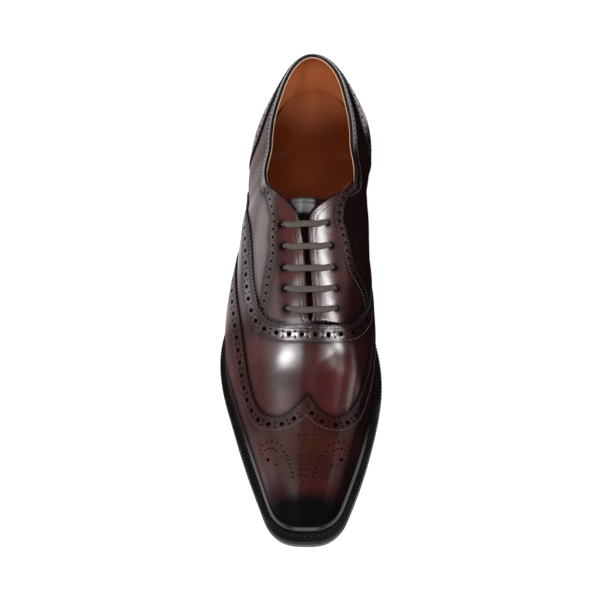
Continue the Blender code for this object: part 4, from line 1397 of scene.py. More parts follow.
under_wing = VAMP_EDGE.copy()
under_wing[:2] += VAMP_UNDERLAP * (WING_EDGE[:2] - VAMP_EDGE[:2])
under_wing[1] = np.clip(under_wing[1], 0, 1)
vamp_outline = np.concatenate([
    pinked(vamp_flat, CROWN, TOOTH_PITCH, TOOTH_DEPTH),
    fitted(to_crown(*under_wing[:, ::-1]), CROWN, PLAIN_STEP)[1:-1],
])
by_the_wing = [spaced(beside(wing_flat, CROWN, shift), CROWN, GUIDE_STEP) for shift in GUIDES]
vamp = cut_panel(
    "vamp_leather", CROWN, vamp_outline, TRIM_LINES["vamp"], vamp_level, VAMP_THICK,
    guides=by_the_wing, over=[(wing_flat, CROWN)])
dress(vamp, CALF, "upper_leather", "vamp")

# %% [markdown]
# The wing cap also carries the medallion, a traditional rosette of holes on top of the toe: two curls,
# each round a larger hole, and a V of dots between them. It is laid out by arcs and lines.

# %% wing cap with its medallion
WING_THICK, WING_EDGE_LEVEL, WING_FULL_LEVEL, WING_RISE_RUN = 0.95, 2.05, 2.65, 9.0
MEDALLION_PATH, CURL_APART = 268.0, 21.0
# Radius and number of dots of the arcs round each large hole, and where they begin and end
CURL_ARCS, CURL_START, CURL_END = ((10.8, 6), (6.6, 5)), -42, 48
# Dots along the middle, then the V: number, half-width, how much it closes, its bend, start and length
MIDDLE_DOTS = (-18.7, -13.6, 16.5)
V_DOTS, V_HALF, V_CLOSING, V_BEND, V_START, V_LENGTH = 7, 11.5, 6.2, 0.7, -3.2, 16.5
MEDALLION_PAIRS = ((4.2, -13.6), (3.4, 0.0), (1.9, 8.6), (1.4, 12.4), (15.0, 4.4))
DOT, LARGE = 0.62, 1.15


def medallion():
    """Holes of the toe's rosette: flat places and radii."""
    centre = to_crown(MEDALLION_PATH, 1.0, MEDIAL)[1]
    dots, large = [(0.0, ahead) for ahead in MIDDLE_DOTS], []
    for side in SIDES:
        large.append((side * CURL_APART, 0.0))
        for radius, count in CURL_ARCS:
            for angle in np.radians(np.linspace(CURL_START, CURL_END, count)):
                dots.append((side * (CURL_APART - radius * np.sin(angle)), -radius * np.cos(angle)))
        for share in np.linspace(0, 1, V_DOTS):
            dots.append((side * (V_HALF - V_CLOSING * share**V_BEND), V_START + V_LENGTH * share))
        dots += [(side * across, ahead) for across, ahead in MEDALLION_PAIRS]
    return [(np.array(group) + (0.0, centre), radius) for group, radius in ((dots, DOT), (large, LARGE))]


wing_points = on_form(spaced(wing_flat, CROWN, PLAIN_STEP), CROWN)


def wing_level(path, row, side):
    rise = smooth(nearest(lifted(path, row, side, 0.0), wing_points) / WING_RISE_RUN)
    return WING_EDGE_LEVEL + (WING_FULL_LEVEL - WING_EDGE_LEVEL) * rise


RIM_POINTS = 160
rim_lengths = np.linspace(np.interp(WING_EDGE[0, 0], STOPS, LENGTHS), LENGTHS[-1], RIM_POINTS)
rim_paths = np.interp(rim_lengths, LENGTHS, STOPS)
lateral_rim, medial_rim = (
    to_crown(rim_paths, np.zeros(RIM_POINTS), np.full(RIM_POINTS, side)) for side in SIDES)
wing_outline = np.concatenate([
    pinked(wing_flat, CROWN, TOOTH_PITCH, TOOTH_DEPTH), medial_rim[1:-1], lateral_rim[:0:-1],
])
wing_trim = TRIM_LINES["wing"][0], TRIM_LINES["wing"][1] + medallion()
wing_cap = cut_panel("wing_leather", CROWN, wing_outline, wing_trim, wing_level, WING_THICK)
dress(wing_cap, WING_CALF, "upper_leather", "wing_cap")

# %% [markdown]
# Pulled over the last's lower edge, the leather of the wing swells a little before it goes under the
# sole. The swelling is a narrow sheet of its own, because its rows must follow the sole closely. Each
# row is the line at one height over the sole, walked from the outer side round the toe to the inner side.

# %% rolled foot of the wing cap
ROLL_START, ROLL_RUN, ROLL_TOP, ROLL_THICK, ROLL_OVER = 130.0, 60.0, 7.0, 0.5, 0.06
ROLL_ROWS, ROLL_COLUMNS, SECTION_STEPS = 18, 700, 241
FEATHER_ROLL, ROLL_HEIGHT, ROLL_SPREAD = 2.0, 2.4, 2.0
roll_stops = np.append(STOPS[STOPS > ROLL_START], LAST_TIP - PATH_END)
section_rows = np.linspace(0, 1, SECTION_STEPS)


def foot_line(height):
    """Path, row and side of the line at one height over the sole, round the toe."""
    ends = []
    for side in SIDES:
        climbs = above_feather(roll_stops[:, None], section_rows[None, :], side)
        reached = climbs[:, -1] > height
        row = np.array([np.interp(height, climb, section_rows) for climb in climbs[reached]])
        ends.append(np.stack([roll_stops[reached], row, np.full_like(row, side)]))
    line = np.concatenate([ends[0], ends[1][:, ::-1]], axis=1)
    walked = run_lengths(last_point(*line))
    even = np.linspace(0, walked[-1], ROLL_COLUMNS)
    path, row = (np.interp(even, walked, values) for values in line[:2])
    return path, row, np.where(even < walked[ends[0].shape[1] - 1], LATERAL, MEDIAL)


def rolled_foot():
    heights = np.linspace(0, ROLL_TOP, ROLL_ROWS)
    path, row, side = np.stack([foot_line(height) for height in heights], axis=1).reshape(3, -1)
    swell = FEATHER_ROLL * np.exp(-((np.repeat(heights, ROLL_COLUMNS) - ROLL_HEIGHT) / ROLL_SPREAD)**2)
    level = wing_level(path, row, side) + ROLL_OVER + swell * smooth((path - ROLL_START) / ROLL_RUN)
    index = np.arange(ROLL_ROWS * ROLL_COLUMNS).reshape(ROLL_ROWS, ROLL_COLUMNS)
    faces = np.stack([index[:-1, :-1], index[:-1, 1:], index[1:, 1:], index[1:, :-1]], axis=-1)
    piece = new_piece("wing_foot", lifted(path, row, side, level), faces.reshape(-1, 4).tolist())
    turned_out(piece)
    colour_by_place(piece, path, row, side)
    thickened(piece, ROLL_THICK)
    smooth_shaded(piece)
    return piece


dress(rolled_foot(), CALF, "upper_leather")

# %% [markdown]
# The counter stiffens the heel, the band finishes the collar, and the eyestays carry the lace. They lie
# straight on the quarters, so each has one level. Painted shadow darkens the eyestays beside the vamp's
# edge and round the laced eyelets.

# %% counter, collar band and eyestays
COUNTER_TOP, COUNTER_THICK = 1.05, 1.0
BAND_TOP, BAND_THICK, BAND_STEP = 0.75, 0.7, 1.2


def flat_level(height):
    return lambda path, row, side: np.full(len(path), height)


counter_foot = to_wall(*wall_line(np.zeros_like(heel_paths), heel_paths))
counter_outline = np.concatenate([
    pinked(counter_flat, WALL, TOOTH_PITCH, -TOOTH_DEPTH), fitted(counter_foot[::-1], WALL, PLAIN_STEP),
])
counter = cut_panel(
    "counter_leather", WALL, counter_outline, TRIM_LINES["counter"], flat_level(COUNTER_TOP), COUNTER_THICK)
dress(counter, CALF, "upper_leather", "counter")

band_outline = np.concatenate([fitted(line, WALL, BAND_STEP) for line in (collar_top, collar_low[::-1])])
collar_band = cut_panel(
    "collar_leather", WALL, band_outline, TRIM_LINES["collar"], flat_level(BAND_TOP), BAND_THICK)
dress(collar_band, CALF, "upper_leather", "collar_band")

for side, name in ((LATERAL, "eyestay_lateral"), (MEDIAL, "eyestay_medial")):
    outline, (edge_seams, holes), slit_seams = EYESTAYS[side]
    # Painted shadow beside the vamp's edge and round the laced eyelets
    eyelet_rings = circles(holes[-1][0], EYELET_RADIUS + HOLE_RIM, WALL, HOLE_SIDES)
    over_eyestay = [(vamp_flat, CROWN)] + [(ring, WALL) for ring in eyelet_rings]
    eyestay = cut_panel(
        name + "_leather", WALL, outline, (edge_seams + slit_seams, holes), flat_level(EYESTAY_TOP),
        BAND_THICK, over=over_eyestay)
    dress(eyestay, CALF, "upper_leather", name)

# %% [markdown]
# ## Stitches and painted shade in the holes
#
# A stitch is modelled once: a small ball pulled to a grain of rice. Copies of its points are set along
# every seam, a little apart, and joined into one mesh, which also knows where the lighter thread is.
# Under the holes, small dark discs on the leather below paint the shade in each hole.

# %% sew
STITCH_LENGTH, STITCH_GAP, STITCH_WIDE, STITCH_HIGH, STITCH_RISE = 1.5, 0.45, 0.52, 0.36, 0.06


def rice_grain():
    """Points and faces of one stitch, from -1 to 1 along x."""
    bpy.ops.object.select_all(action="DESELECT")
    bpy.ops.mesh.primitive_uv_sphere_add(segments=6, ring_count=5, radius=1.0)
    ball = bpy.context.object
    quarter_turn = {"value": np.pi / 2, "orient_axis": "Y", "center_override": (0.0, 0.0, 0.0)}
    edited(ball, (bpy.ops.transform.rotate, quarter_turn))
    points = np.array([tuple(vertex.co) for vertex in ball.data.vertices])
    faces = [tuple(face.vertices) for face in ball.data.polygons]
    mesh = ball.data
    bpy.data.objects.remove(ball)
    bpy.data.meshes.remove(mesh)
    return points, faces


GRAIN_POINTS, GRAIN_FACES = rice_grain()


def joined_copies(name, template, faces, centres, axes, sizes):
    """One mesh of many copies: each at a centre, along three axes, with three half-sizes."""
    places = centres[:, None] + sum(
        template[None, :, k, None] * axes[k][:, None] * sizes[k] for k in range(3)
    )
    count = len(template)
    starts = range(0, count * len(centres), count)
    every = [tuple(corner + start for corner in face) for start in starts for face in faces]
    piece = new_piece(name, places.reshape(-1, 3), every)
    faced_out(piece)
    bpy.ops.object.shade_smooth()
    return piece


def seam_frames(line, chart, level):
    """Centres and axes of the stitches along a line."""
    flat = fitted(line, chart, STITCH_LENGTH + STITCH_GAP)
    path, row, side = chart[1](flat)
    centres = lifted(path, row, side, level(path, row, side))
    along = unit(np.gradient(centres, axis=0))
    out = last_normal(path, row, side)
    return centres, along, unit(np.cross(out, along)), out


# Chart, level of the top, thickness and trim of every sewn panel
SEWN_PANELS = [
    (CROWN, vamp_level, VAMP_THICK, TRIM_LINES["vamp"]), (CROWN, wing_level, WING_THICK, wing_trim),
    (WALL, flat_level(COUNTER_TOP), COUNTER_THICK, TRIM_LINES["counter"]),
    (WALL, flat_level(BAND_TOP), BAND_THICK, TRIM_LINES["collar"]),
]
SEWN_PANELS += [(WALL, flat_level(EYESTAY_TOP), BAND_THICK, EYESTAYS[side][1]) for side in SIDES]
# Line, chart, level, and whether the thread is the lighter one, as in the innermost seam of each panel
sewn = []
for chart, level, _, (lines, _) in SEWN_PANELS:
    sewn += [(line, chart, level, line is lines[-1]) for line in lines]
sewn += [(line, WALL, flat_level(EYESTAY_TOP), False) for side in SIDES for line in EYESTAYS[side][2]]


def lowered(level):
    return lambda path, row, side: level(path, row, side) - STITCH_DROP + STITCH_RISE


frames = [seam_frames(line, chart, lowered(level)) for line, chart, level, _ in sewn]
lights = np.concatenate([np.full(len(spots), light) for (spots, *_), (*_, light) in zip(frames, sewn)])
centres, along, across, out = (np.concatenate(part) for part in zip(*frames))
sizes = STITCH_LENGTH / 2, STITCH_WIDE / 2, STITCH_HIGH / 2
stitches = joined_copies("stitches", GRAIN_POINTS, GRAIN_FACES, centres, (along, across, out), sizes)
store(stitches, "light", np.repeat(lights, len(GRAIN_POINTS)))
dress(stitches, THREAD, "upper_leather")

# %% [markdown]
# The dark discs of painted shade under the holes lie a little above the underside of their panel, so that
# each hole ends in something dark and no gap shows under its rim.

# %% painted shade under the holes
DISC_SIDES, HOLE_SHADE_OVERLAP, HOLE_SHADE_RISE, HOLE_SHADE_HALF = 10, 0.35, 0.1, 0.05
ANY_DIRECTION = (1.0, 0.3, 0.2)


def disc():
    """Points and faces of a flat drum, from -1 to 1 on each axis."""
    angle = np.linspace(0, 2 * np.pi, DISC_SIDES, endpoint=False)
    low, high = (np.column_stack([np.cos(angle), np.sin(angle), np.full(DISC_SIDES, z)]) for z in (-1.0, 1.0))
    faces = [tuple(range(DISC_SIDES))[::-1], tuple(range(DISC_SIDES, 2 * DISC_SIDES))]
    for i in range(DISC_SIDES):
        ahead = (i + 1) % DISC_SIDES
        faces.append((i, ahead, ahead + DISC_SIDES, i + DISC_SIDES))
    return np.concatenate([low, high]), faces


# Discs of painted shade, one under each hole
hole_shade_places = []
for chart, level, thick, (_, holes) in SEWN_PANELS:
    for spots, radius in holes:
        path, row, side = chart[1](spots)
        centres = lifted(path, row, side, level(path, row, side) - thick + HOLE_SHADE_RISE)
        out = last_normal(path, row, side)
        along = unit(np.cross(out, ANY_DIRECTION))
        reach = radius + HOLE_SHADE_OVERLAP
        hole_shade_places.append((centres, along * reach, np.cross(out, along) * reach, out))
centres, along, across, out = (np.concatenate(part) for part in zip(*hole_shade_places))
hole_shades = joined_copies("hole_shade_discs", *disc(), centres, (along, across, out), (1.0, 1.0, HOLE_SHADE_HALF))
dress(hole_shades, HOLE_DARK, "upper_leather")

# %% [markdown]
# ## Tongue and insole
#
# The tongue is a padded strip under the facings. Its top edge is folded back, which makes it a little
# thicker there, and painted shade darkens it, most under the facings. The insole's leather sock lies on the
# sole and turns up slightly at the walls, with painted shade that deepens towards the toe.

# %% tongue
TONGUE_TOP, TONGUE_END, TONGUE_EDGE_ROW, TONGUE_LEVEL, TONGUE_THICK = 118.0, 197.0, 0.7, -3.0, 1.5
FOLD_HIGH, FOLD_AT, FOLD_REACH = 0.8, TONGUE_TOP + 1.5, 2.0
# Painted shade on the tongue: its black share at the top, where it turns full black, and the run
TONGUE_TOP_SHADE, TONGUE_SHADE_START, TONGUE_SHADE_RUN = 0.8, TONGUE_TOP + 2, 6
TONGUE_SHINE, SHINE_HALF, SHINE_END, SHINE_RUN = 0.9, 8.5, 127, 3


def tongue_place(u, v):
    path = TONGUE_TOP + u * (TONGUE_END - TONGUE_TOP)
    signed = 2 * v - 1
    row = 1 - np.abs(signed) * (1 - TONGUE_EDGE_ROW)
    side = by_side(signed, SIDES)
    fold = FOLD_HIGH * np.exp(-((path - FOLD_AT) / FOLD_REACH)**2)
    return lifted(path, row, side, TONGUE_LEVEL + fold)


tongue = wrap("tongue_leather", columns=110, rows=60, place=tongue_place)
turned_out(tongue)
station = stations(tongue)
off_ridge = np.abs(vertex_points(tongue)[:, 0] + MID_X - LAST["ridge_x"](station))
store(tongue, "rubbed_and_shaded", TONGUE_TOP_SHADE + (1 - TONGUE_TOP_SHADE) * smooth((station - TONGUE_SHADE_START) / TONGUE_SHADE_RUN))
store(tongue, "warm", np.zeros(len(station)))
shown = smooth((SHINE_HALF - off_ridge) / SHINE_RUN) * smooth((SHINE_END - station) / SHINE_RUN)
store(tongue, "shine", TONGUE_SHINE * shown)
thickened(tongue, TONGUE_THICK)
smooth_shaded(tongue)
dress(tongue, TONGUE_CALF, "upper_leather", "tongue")

# %% [markdown]
# The sole's outline and the upper's bottom edge are both walked from the back of the heel to the tip of
# the toe, with more stops where they bend. Sheets between their two sides make the insole and the sole.

# %% sole edges
TOE_NODES, HEEL_NODES, LENGTH_NODES = 24, 30, 90
fan_nodes = np.linspace(PATH_BACK, HEEL_AXIS, HEEL_NODES + 1)
length_share = np.linspace(0, 1, LENGTH_NODES + 1)[1:]
toe_share = np.sin(np.linspace(0, np.pi / 2, TOE_NODES + 1)[1:])**(2 / TOE_WIDTH_POWER)
last_toe, sole_toe = LAST_TIP - TOE_WIDTH_RUN, SHOE_LENGTH - SOLE_TOE_RUN
LAST_NODES = np.concatenate([
    fan_nodes, HEEL_AXIS + length_share * (last_toe - HEEL_AXIS), last_toe + toe_share * TOE_WIDTH_RUN])
SOLE_NODES = np.concatenate([
    fan_nodes, HEEL_AXIS + length_share * (sole_toe - HEEL_AXIS), sole_toe + toe_share * SOLE_TOE_RUN])
NODE_SHARE = np.linspace(0, 1, len(SOLE_NODES))
FULL_WIDTH, HEEL_WIDE, HEEL_DEEP, CUP_RUN = 80.0, 31.0, 48.0, 14.0
CUP_START, CUP_RISE_RUN = 0.35, 0.67


def sole_edge(nodes, side, setback=0.0):
    """Outline of the sole: x and station at each node."""
    turn = np.clip((HEEL_AXIS - nodes) / FAN, 0, np.pi / 2)
    half = by_side(side, (SOLE_HALF[s](nodes) for s in SIDES))
    half = half * closing((nodes - SHOE_LENGTH) / SOLE_TOE_RUN + 1, TOE_WIDTH_POWER)
    half = np.clip(half - setback, 0, None)
    reach = (HEEL_AXIS - HEEL_BACK - setback) * np.sin(turn)
    ahead = np.where(nodes > SHOE_LENGTH - SOLE_TOE_RUN, nodes - setback, nodes)
    return np.stack([side * half * np.cos(turn), np.where(nodes < HEEL_AXIS, HEEL_AXIS - reach, ahead)])


def feather_edge(nodes, side, inset):
    """Outline set inside the upper's bottom edge: x and station at each node."""
    normal = unit(last_normal(nodes, 0.0, side) * (1, 1, 0))
    point = last_point(nodes, 0.0, side) - np.asarray(inset) * normal
    return point[..., :2].T


def slab(name, edge, nodes, level, turn_up=0.0, heel_cup=0.0, columns=150, rows=28):
    """Sheet between both edges of an outline, at a level above the tread. Its edges and heel may turn up."""
    def place(u, v):
        at = np.interp(u, NODE_SHARE, nodes)
        lateral, medial = edge(at, LATERAL), edge(at, MEDIAL)
        x, station = lateral + v * (medial - lateral)
        narrow = np.abs(medial[0] - lateral[0]) / FULL_WIDTH
        behind = np.hypot(x / HEEL_WIDE, (HEEL_AXIS - np.minimum(station, HEEL_AXIS)) / HEEL_DEEP)
        cup = heel_cup * smooth((behind - CUP_START) / CUP_RISE_RUN) * smooth((HEEL_AXIS - station) / CUP_RUN)
        height = tread(station) + level + cup + turn_up * narrow * (2 * v - 1)**4
        return np.stack([x, station, height], axis=-1)

    piece = wrap(name, columns, rows, place)
    merged(piece)
    return piece


def facing_up(piece):
    """Flip a sheet that looks down."""
    if sum(face.normal.z * face.area for face in piece.data.polygons) < 0:
        piece.data.flip_normals()


def insole_edge(at, side):
    """Edge of the sock: inside the upper's bottom edge, and close to the lining behind the heel."""
    behind = smooth((HEEL_AXIS - at) / (HEEL_AXIS - PATH_BACK))
    return feather_edge(at, side, ((WELT_UNDER_UPPER + GAP) * (1 - behind))[..., None])


# Painted shade on the sock: its share at the heel, and where it deepens towards the toe
SOCK_DEEP, SOCK_START, SOCK_RUN = 0.62, 6, 34
insole = slab(
    "insole_sock", insole_edge, LAST_NODES, SOLE_THICK + GAP + INSOLE_THICK, turn_up=1.5, heel_cup=12.0)
facing_up(insole)
store(insole, "painted_shade", SOCK_DEEP + (1 - SOCK_DEEP) * smooth((stations(insole) - SOCK_START) / SOCK_RUN))
thickened(insole, INSOLE_THICK)
rearmost = in_frame(last_point(PATH_BACK, 0.0, MEDIAL))[1]
for vertex in insole.data.vertices:
    vertex.co.y = min(vertex.co.y, rearmost)
smooth_shaded(insole)
dress(insole, LINING, "lining_leather", "insole")

# %% [markdown]
# ## Sole, welt and heel
#
# The outsole is a slab bent to the last's bottom, with rounded edges. The welt is a ring between the
# sole and the upper. A toothed wheel has pressed short ridges into it between the stitches. The
# heel starts as a circle, shaped to the heel's outline and extruded lift by lift.

# %% outsole and welt
SOLE_ROUND, ROUND_ANGLE = 0.9, np.radians(50)
SOLE_SHINE, TIP_SHINE, TIP_START, TIP_RUN = 0.1, 0.85, 296, 12
WHEEL_PITCH, WHEEL_DEPTH, WHEEL_START, WHEEL_RUN = 2.3, 0.6, 0.55, 0.08
WELT_COLUMNS, WELT_ROWS, WELT_STEPS, WELT_SHINE = 1800, 10, 4001, 0.3

outsole = slab("sole_slab", sole_edge, SOLE_NODES, 0.0)
facing_up(outsole)
apply_modifier(outsole, "SOLIDIFY", thickness=SOLE_THICK * MM, offset=1.0)
apply_modifier(
    outsole, "BEVEL", width=SOLE_ROUND * MM, segments=3, limit_method="ANGLE", angle_limit=ROUND_ANGLE)
store(outsole, "shine", SOLE_SHINE + TIP_SHINE * smooth((stations(outsole) - TIP_START) / TIP_RUN))
smooth_shaded(outsole)
dress(outsole, BLACK_EDGE, "sole_leather", "outsole")


def welt_edges(u):
    """Inner and outer edge of the welt for a place round the shoe."""
    signed = 2 * u - 1
    side = by_side(signed, SIDES)
    share = 1 - np.abs(signed)
    inner = feather_edge(np.interp(share, NODE_SHARE, LAST_NODES), side, WELT_UNDER_UPPER)
    outer = sole_edge(np.interp(share, NODE_SHARE, SOLE_NODES), side, WELT_SETBACK)
    return inner, outer


welt_run = np.linspace(0, 1, WELT_STEPS)
WELT_WALK = run_lengths(welt_edges(welt_run)[1].T)


def welt_place(u, v):
    even = np.interp(u * WELT_WALK[-1], WELT_WALK, welt_run)
    inner, outer = welt_edges(even)
    x, station = inner + v * (outer - inner)
    wheel = np.cos(2 * np.pi * u * WELT_WALK[-1] / WHEEL_PITCH)
    groove = smooth((v - WHEEL_START) / WHEEL_RUN)
    height = SOLE_THICK + GAP + WELT_THICK - groove * WHEEL_DEPTH * (0.5 + 0.5 * wheel)
    return np.stack([x, station, tread(station) + height], axis=-1)


welt = wrap("welt_ring", WELT_COLUMNS, WELT_ROWS, welt_place)
merged(welt)
facing_up(welt)
thickened(welt, WELT_THICK)
polished(welt, WELT_SHINE)
smooth_shaded(welt)
dress(welt, BLACK_EDGE, "sole_leather", "welt")

# %% [markdown]
# The welt's own seam lies in the wheel marks, one stitch for every second ridge. The same grain of rice
# serves again, only larger.

# %% welt stitches
WELT_STITCH, WELT_STITCH_WIDE, WELT_STITCH_HIGH, WELT_STITCH_SHARE = 3.4, 0.9, 0.7, 0.68
WELT_STITCH_RISE = 0.05
stops = np.arange(0, WELT_WALK[-1], WHEEL_PITCH * 2) / WELT_WALK[-1]
centres = welt_place(stops, np.full_like(stops, WELT_STITCH_SHARE)) + (0, 0, WELT_STITCH_RISE)
ahead = unit(np.roll(centres, -1, axis=0) - np.roll(centres, 1, axis=0))
up = np.broadcast_to((0.0, 0.0, 1.0), centres.shape)
sizes = WELT_STITCH / 2, WELT_STITCH_WIDE / 2, WELT_STITCH_HIGH / 2
welt_stitches = joined_copies(
    "welt_stitches", GRAIN_POINTS, GRAIN_FACES, centres, (ahead, unit(np.cross(up, ahead)), up), sizes)
dress(welt_stitches, WELT_THREAD, "sole_leather")

# %% [markdown]
# Each step of the heel extrudes the outline up and widens it about the breast, the heel's straight front.
# A thin groove marks where one leather lift is glued on the next.

# %% heel
LIFTS, LIFT_GROOVE, GROOVE_SCALE = 4, 0.2, 0.996
HEEL_CORNERS, HEEL_SHINE = 40, 0.35


def heel_block(name, bottom, top, lifts, material, slot, node):
    """Heel layers between two heights: a circle shaped to the heel and extruded, with a groove per lift."""
    nodes = np.append(np.linspace(PATH_BACK, HEEL_AXIS, HEEL_CORNERS), BREAST)
    outline = end_to_end(*(sole_edge(nodes, side) for side in SIDES)).T
    bpy.ops.object.select_all(action="DESELECT")
    bpy.ops.mesh.primitive_circle_add(vertices=len(outline), radius=1.0, fill_type="NGON")
    piece = bpy.context.object
    piece.name = piece.data.name = name
    scale = 1 - (1 - HEEL_TAPER) * (1 - bottom / HEEL_HEIGHT)
    shaped = np.column_stack([
        outline[:, 0] * scale, BREAST + (outline[:, 1] - BREAST) * scale, np.full(len(outline), bottom)])
    for vertex, place in zip(piece.data.vertices, in_frame(shaped)):
        vertex.co = place
    pivot = tuple(in_frame((0.0, BREAST, 0.0)))
    lift = (top - bottom) / lifts
    widen = 1 + (1 - HEEL_TAPER) * lift / HEEL_HEIGHT
    steps = ((lift - 2 * LIFT_GROOVE, widen), (LIFT_GROOVE, GROOVE_SCALE), (LIFT_GROOVE, 1 / GROOVE_SCALE))
    layers = []
    for rise, size in steps * lifts:
        up = {"TRANSFORM_OT_translate": {"value": (0, 0, rise * MM)}}
        layers.append((bpy.ops.mesh.extrude_region_move, up))
        layers.append((bpy.ops.transform.resize, {"value": (size, size, 1.0), "center_override": pivot}))
    edited(piece, *layers)
    faced_out(piece)
    polished(piece, HEEL_SHINE)
    smooth_shaded(piece)
    return dress(piece, material, slot, node)


stack = TOP_PIECE_THICK + GAP, HEEL_HEIGHT - GAP
heel_block("heel_lifts", *stack, LIFTS, BLACK_EDGE, "sole_leather", "heel_stack")
heel_block("heel_top", 0.0, TOP_PIECE_THICK, 1, RUBBER, "heel_rubber", "heel_top_piece")

# %% [markdown]
# ## The lace
#
# One waxed lace makes five bars, which bow a little towards the toe. Under the facings it climbs from hole
# to hole, out of sight, and its ends stop there, one by the lowest outer hole and one by the top inner hole.
# Its route is a list of places on the last with a level over the leather, and an oval is swept along a
# smooth curve through them.

# %% lace
LACE_WIDE, LACE_HIGH, LACE_SIDES, LACE_STEP = 4.0, 1.7, 14, 0.5
OVER, THROUGH, UNDER = EYESTAY_TOP + 0.85, -0.6, -2.4
EYELET_EASE, BAR_SHARES, SAG = 0.022, (0.3, 0.65), 2.4
LACE_PINCH, PINCH_REACH = 0.45, 3.2


def half_bar(end, middle, side):
    """Places of half a bar, from under its eyelet to near the ridge: path, row, side, level and sag."""
    path, row = end
    places = [(path, row, side, UNDER, 0), (path, row, side, THROUGH, 0)]
    places.append((path, row + EYELET_EASE, side, OVER, 0))
    for share in BAR_SHARES:
        sag = 1 - (1 - share)**2
        places.append((path + share * (middle - path), row + share * (1 - row), side, OVER, sag))
    return places


def lace_route():
    """The places that the lace passes, from end to end."""
    route = []
    for number, row in reversed(list(enumerate(LACE_ROWS))):
        middle = (row[0] + row[2]) / 2
        bar = half_bar(row[:2], middle, LATERAL) + [(middle, 1.0, MEDIAL, OVER, 1.0)]
        bar += half_bar(row[2:], middle, MEDIAL)[::-1]
        route += bar if number % 2 == 0 else bar[::-1]
    return route


def swept(name, points, out, wide, high, sides):
    """Closed oval tube along points, kept flat to the leather, with its weave on a UV map."""
    along = unit(np.gradient(points, axis=0))
    across = unit(np.cross(out, along))
    out = np.cross(along, across)
    angle = np.linspace(0, 2 * np.pi, sides, endpoint=False)
    across = across * np.broadcast_to(wide, len(points))[:, None] / 2
    turns = np.cos(angle)[None, :, None], np.sin(angle)[None, :, None]
    ring = turns[0] * across[:, None] + turns[1] * out[:, None] * high / 2
    count = len(points)
    index = np.arange(count * sides).reshape(count, sides)
    ahead = np.roll(index, -1, axis=1)
    faces = np.stack([index[:-1], ahead[:-1], ahead[1:], index[1:]], axis=-1).reshape(-1, 4).tolist()
    faces += [index[0, ::-1].tolist(), index[-1].tolist()]
    piece = new_piece(name, (points[:, None] + ring).reshape(-1, 3), faces)
    weave = piece.data.uv_layers.new(name="weave")
    walked = np.repeat(run_lengths(points), sides)
    turn = np.tile(angle, count)
    for loop in piece.data.loops:
        weave.data[loop.index].uv = (walked[loop.vertex_index], turn[loop.vertex_index])
    faced_out(piece)
    bpy.ops.object.shade_smooth()
    return piece


route = np.array(lace_route())
knots = lifted(*route.T[:4]) + np.outer(route[:, 4], (0, SAG, 0))
outs = last_normal(*route.T[:3])
walked = run_lengths(knots)
stops = np.linspace(0, walked[-1], int(walked[-1] / LACE_STEP))
lace_points, lace_out = (
    np.column_stack([spline(np.column_stack([walked, table]), column)(stops) for column in (1, 2, 3)])
    for table in (knots, outs)
)
bar_ends = np.array(LACE_ROWS).T
ends_by_side = ((LATERAL, bar_ends[:2]), (MEDIAL, bar_ends[2:]))
eyelets = np.concatenate([lifted(*ends, side, EYESTAY_TOP) for side, ends in ends_by_side])
pinched = 1 - LACE_PINCH * np.exp(-(nearest(lace_points, eyelets) / PINCH_REACH)**2)
lace = swept("lace", lace_points, unit(lace_out), LACE_WIDE * pinched, LACE_HIGH, LACE_SIDES)
dress(lace, LACE_CLOTH, "lace_cord", *["lace_bar_%d" % number for number in range(1, len(LACE_ROWS) + 1)])
print("lace length", round(walked[-1]), "mm")

# %% [markdown]
# ## Collar edge
#
# The collar ends in a narrow rolled edge, dyed black, over both leathers. It is an oval swept along
# the wall's top from facing to facing.

# %% collar edge
EDGE_WIDE, EDGE_HIGH, EDGE_STEP, EDGE_SIDES, EDGE_SHINE = 1.8, 1.1, 1.2, 12, 0.15
EDGE_LEVEL, EDGE_RISE, EDGE_END, EDGE_STOPS = -0.25, 0.15, 126.0, 320
roll_paths = np.linspace(PATH_BACK, EDGE_END, EDGE_STOPS)
roll = wall_line(np.ones_like(roll_paths), roll_paths)
roll_flat = fitted(to_wall(*roll), WALL, EDGE_STEP)
path, row, side = from_wall(roll_flat)
roll_points = lifted(path, row, side, EDGE_LEVEL)
roll_along = unit(np.gradient(roll_points, axis=0))
roll_up = unit(np.cross(roll_along, last_normal(path, row, side)))
roll_up = roll_up * np.sign(roll_up[:, 2:])
roll_points = roll_points + EDGE_RISE * roll_up
collar_edge = swept("collar_edge", roll_points, roll_up, EDGE_WIDE, EDGE_HIGH, EDGE_SIDES)
polished(collar_edge, EDGE_SHINE)
dress(collar_edge, BLACK_EDGE, "upper_leather")

# %% [markdown]
# ## Floor and light
#
# The shoe stands on a plain pale floor under soft boxes, as in a product studio. Two boxes hang over
# the toe, left and right, and leave a darker gap along the ridge of the foot. A third box and a weak strip
# light the inner facing, and pale cards stand at the outer side, over it and in front of the toe. Each is
# given by its direction from the shoe. A weak ceiling, which the wax doesn't mirror, and a floor that glows
# a little keep the shadows soft and the ground pale.

# %% floor, world and lights
FLOOR_SIZE, FLOOR_GLOW, WORLD_LIGHT = 8.0, 0.66, 0.06
FLOOR_GREYS = ((0.40, 0.40, 0.40, 1), (0.44, 0.44, 0.44, 1))


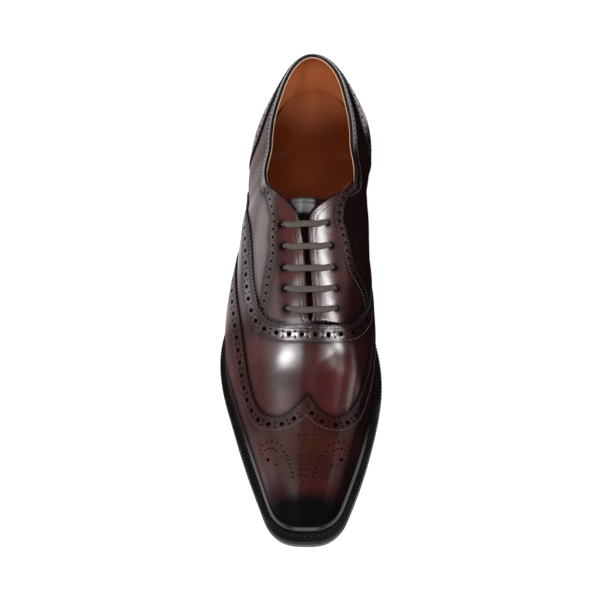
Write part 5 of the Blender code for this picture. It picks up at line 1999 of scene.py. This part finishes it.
def make_floor():
    bpy.ops.object.select_all(action="DESELECT")
    bpy.ops.mesh.primitive_plane_add(size=FLOOR_SIZE, location=(0, 0, 0))
    floor = bpy.context.object
    floor.name = "floor"
    material, tree, shader = new_material("pale_floor")
    dust = add_node(tree, "ShaderNodeTexNoise", {"Scale": 40.0, "Detail": 3.0})
    tree.links.new(blended(tree, dust.outputs["Fac"], *FLOOR_GREYS), shader.inputs["Base Color"])
    shader.inputs["Roughness"].default_value = 0.9
    shader.inputs["Emission Color"].default_value = (1.0, 1.0, 1.0, 1.0)
    shader.inputs["Emission Strength"].default_value = FLOOR_GLOW
    floor.data.materials.append(material)


def soft_box(name, place, target, width, height, watts):
    data = bpy.data.lights.new(name, "AREA")
    data.shape = "ELLIPSE"
    data.size, data.size_y = width, height
    data.energy = watts
    light = bpy.data.objects.new(name, data)
    light.location = place
    light.rotation_euler = (Vector(target) - Vector(place)).to_track_quat("-Z", "Y").to_euler()
    bpy.context.scene.collection.objects.link(light)
    return light


def make_world():
    world = bpy.data.worlds.new("studio")
    world.use_nodes = True
    world.node_tree.nodes["Background"].inputs["Color"].default_value = (1.0, 1.0, 1.0, 1.0)
    world.node_tree.nodes["Background"].inputs["Strength"].default_value = WORLD_LIGHT
    bpy.context.scene.world = world
    bpy.context.scene.view_settings.view_transform = "Standard"


SHOE_MIDDLE = np.array((0.0, -0.02, 0.06))
# Name, direction from the shoe, distance, width and height in metres, and radiance
SOFT_BOXES = (
    ("box_left", (-0.275, -0.42, 0.87), 2.6, 0.66, 0.52, 48.0),
    ("box_right", (0.40, -0.42, 0.81), 2.6, 0.50, 0.50, 40.0),
    ("box_facing", (0.57, -0.21, 0.80), 2.6, 0.45, 0.60, 32.0),
    ("strip_right", (0.93, -0.08, 0.35), 2.0, 0.22, 0.60, 4.0),
    ("card_left", (-0.97, 0.05, 0.20), 1.6, 1.80, 1.00, 3.0),
    ("card_over", (-0.55, -0.12, 0.83), 1.6, 1.60, 1.75, 1.2),
    ("card_front", (0.0, -0.95, 0.30), 1.6, 1.60, 0.70, 2.3),
)
make_floor()
make_world()
for name, direction, distance, width, height, radiance in SOFT_BOXES:
    place = SHOE_MIDDLE + distance * unit(np.array(direction))
    ellipse = np.pi / 4 * width * height
    soft_box(name, place, SHOE_MIDDLE, width, height, watts=np.pi * radiance * ellipse)
ceiling = soft_box("ceiling", (0.0, 0.0, 3.0), SHOE_MIDDLE, width=4.0, height=4.0, watts=60.0)
ceiling.visible_glossy = False
print("lights:", len(bpy.data.lights))
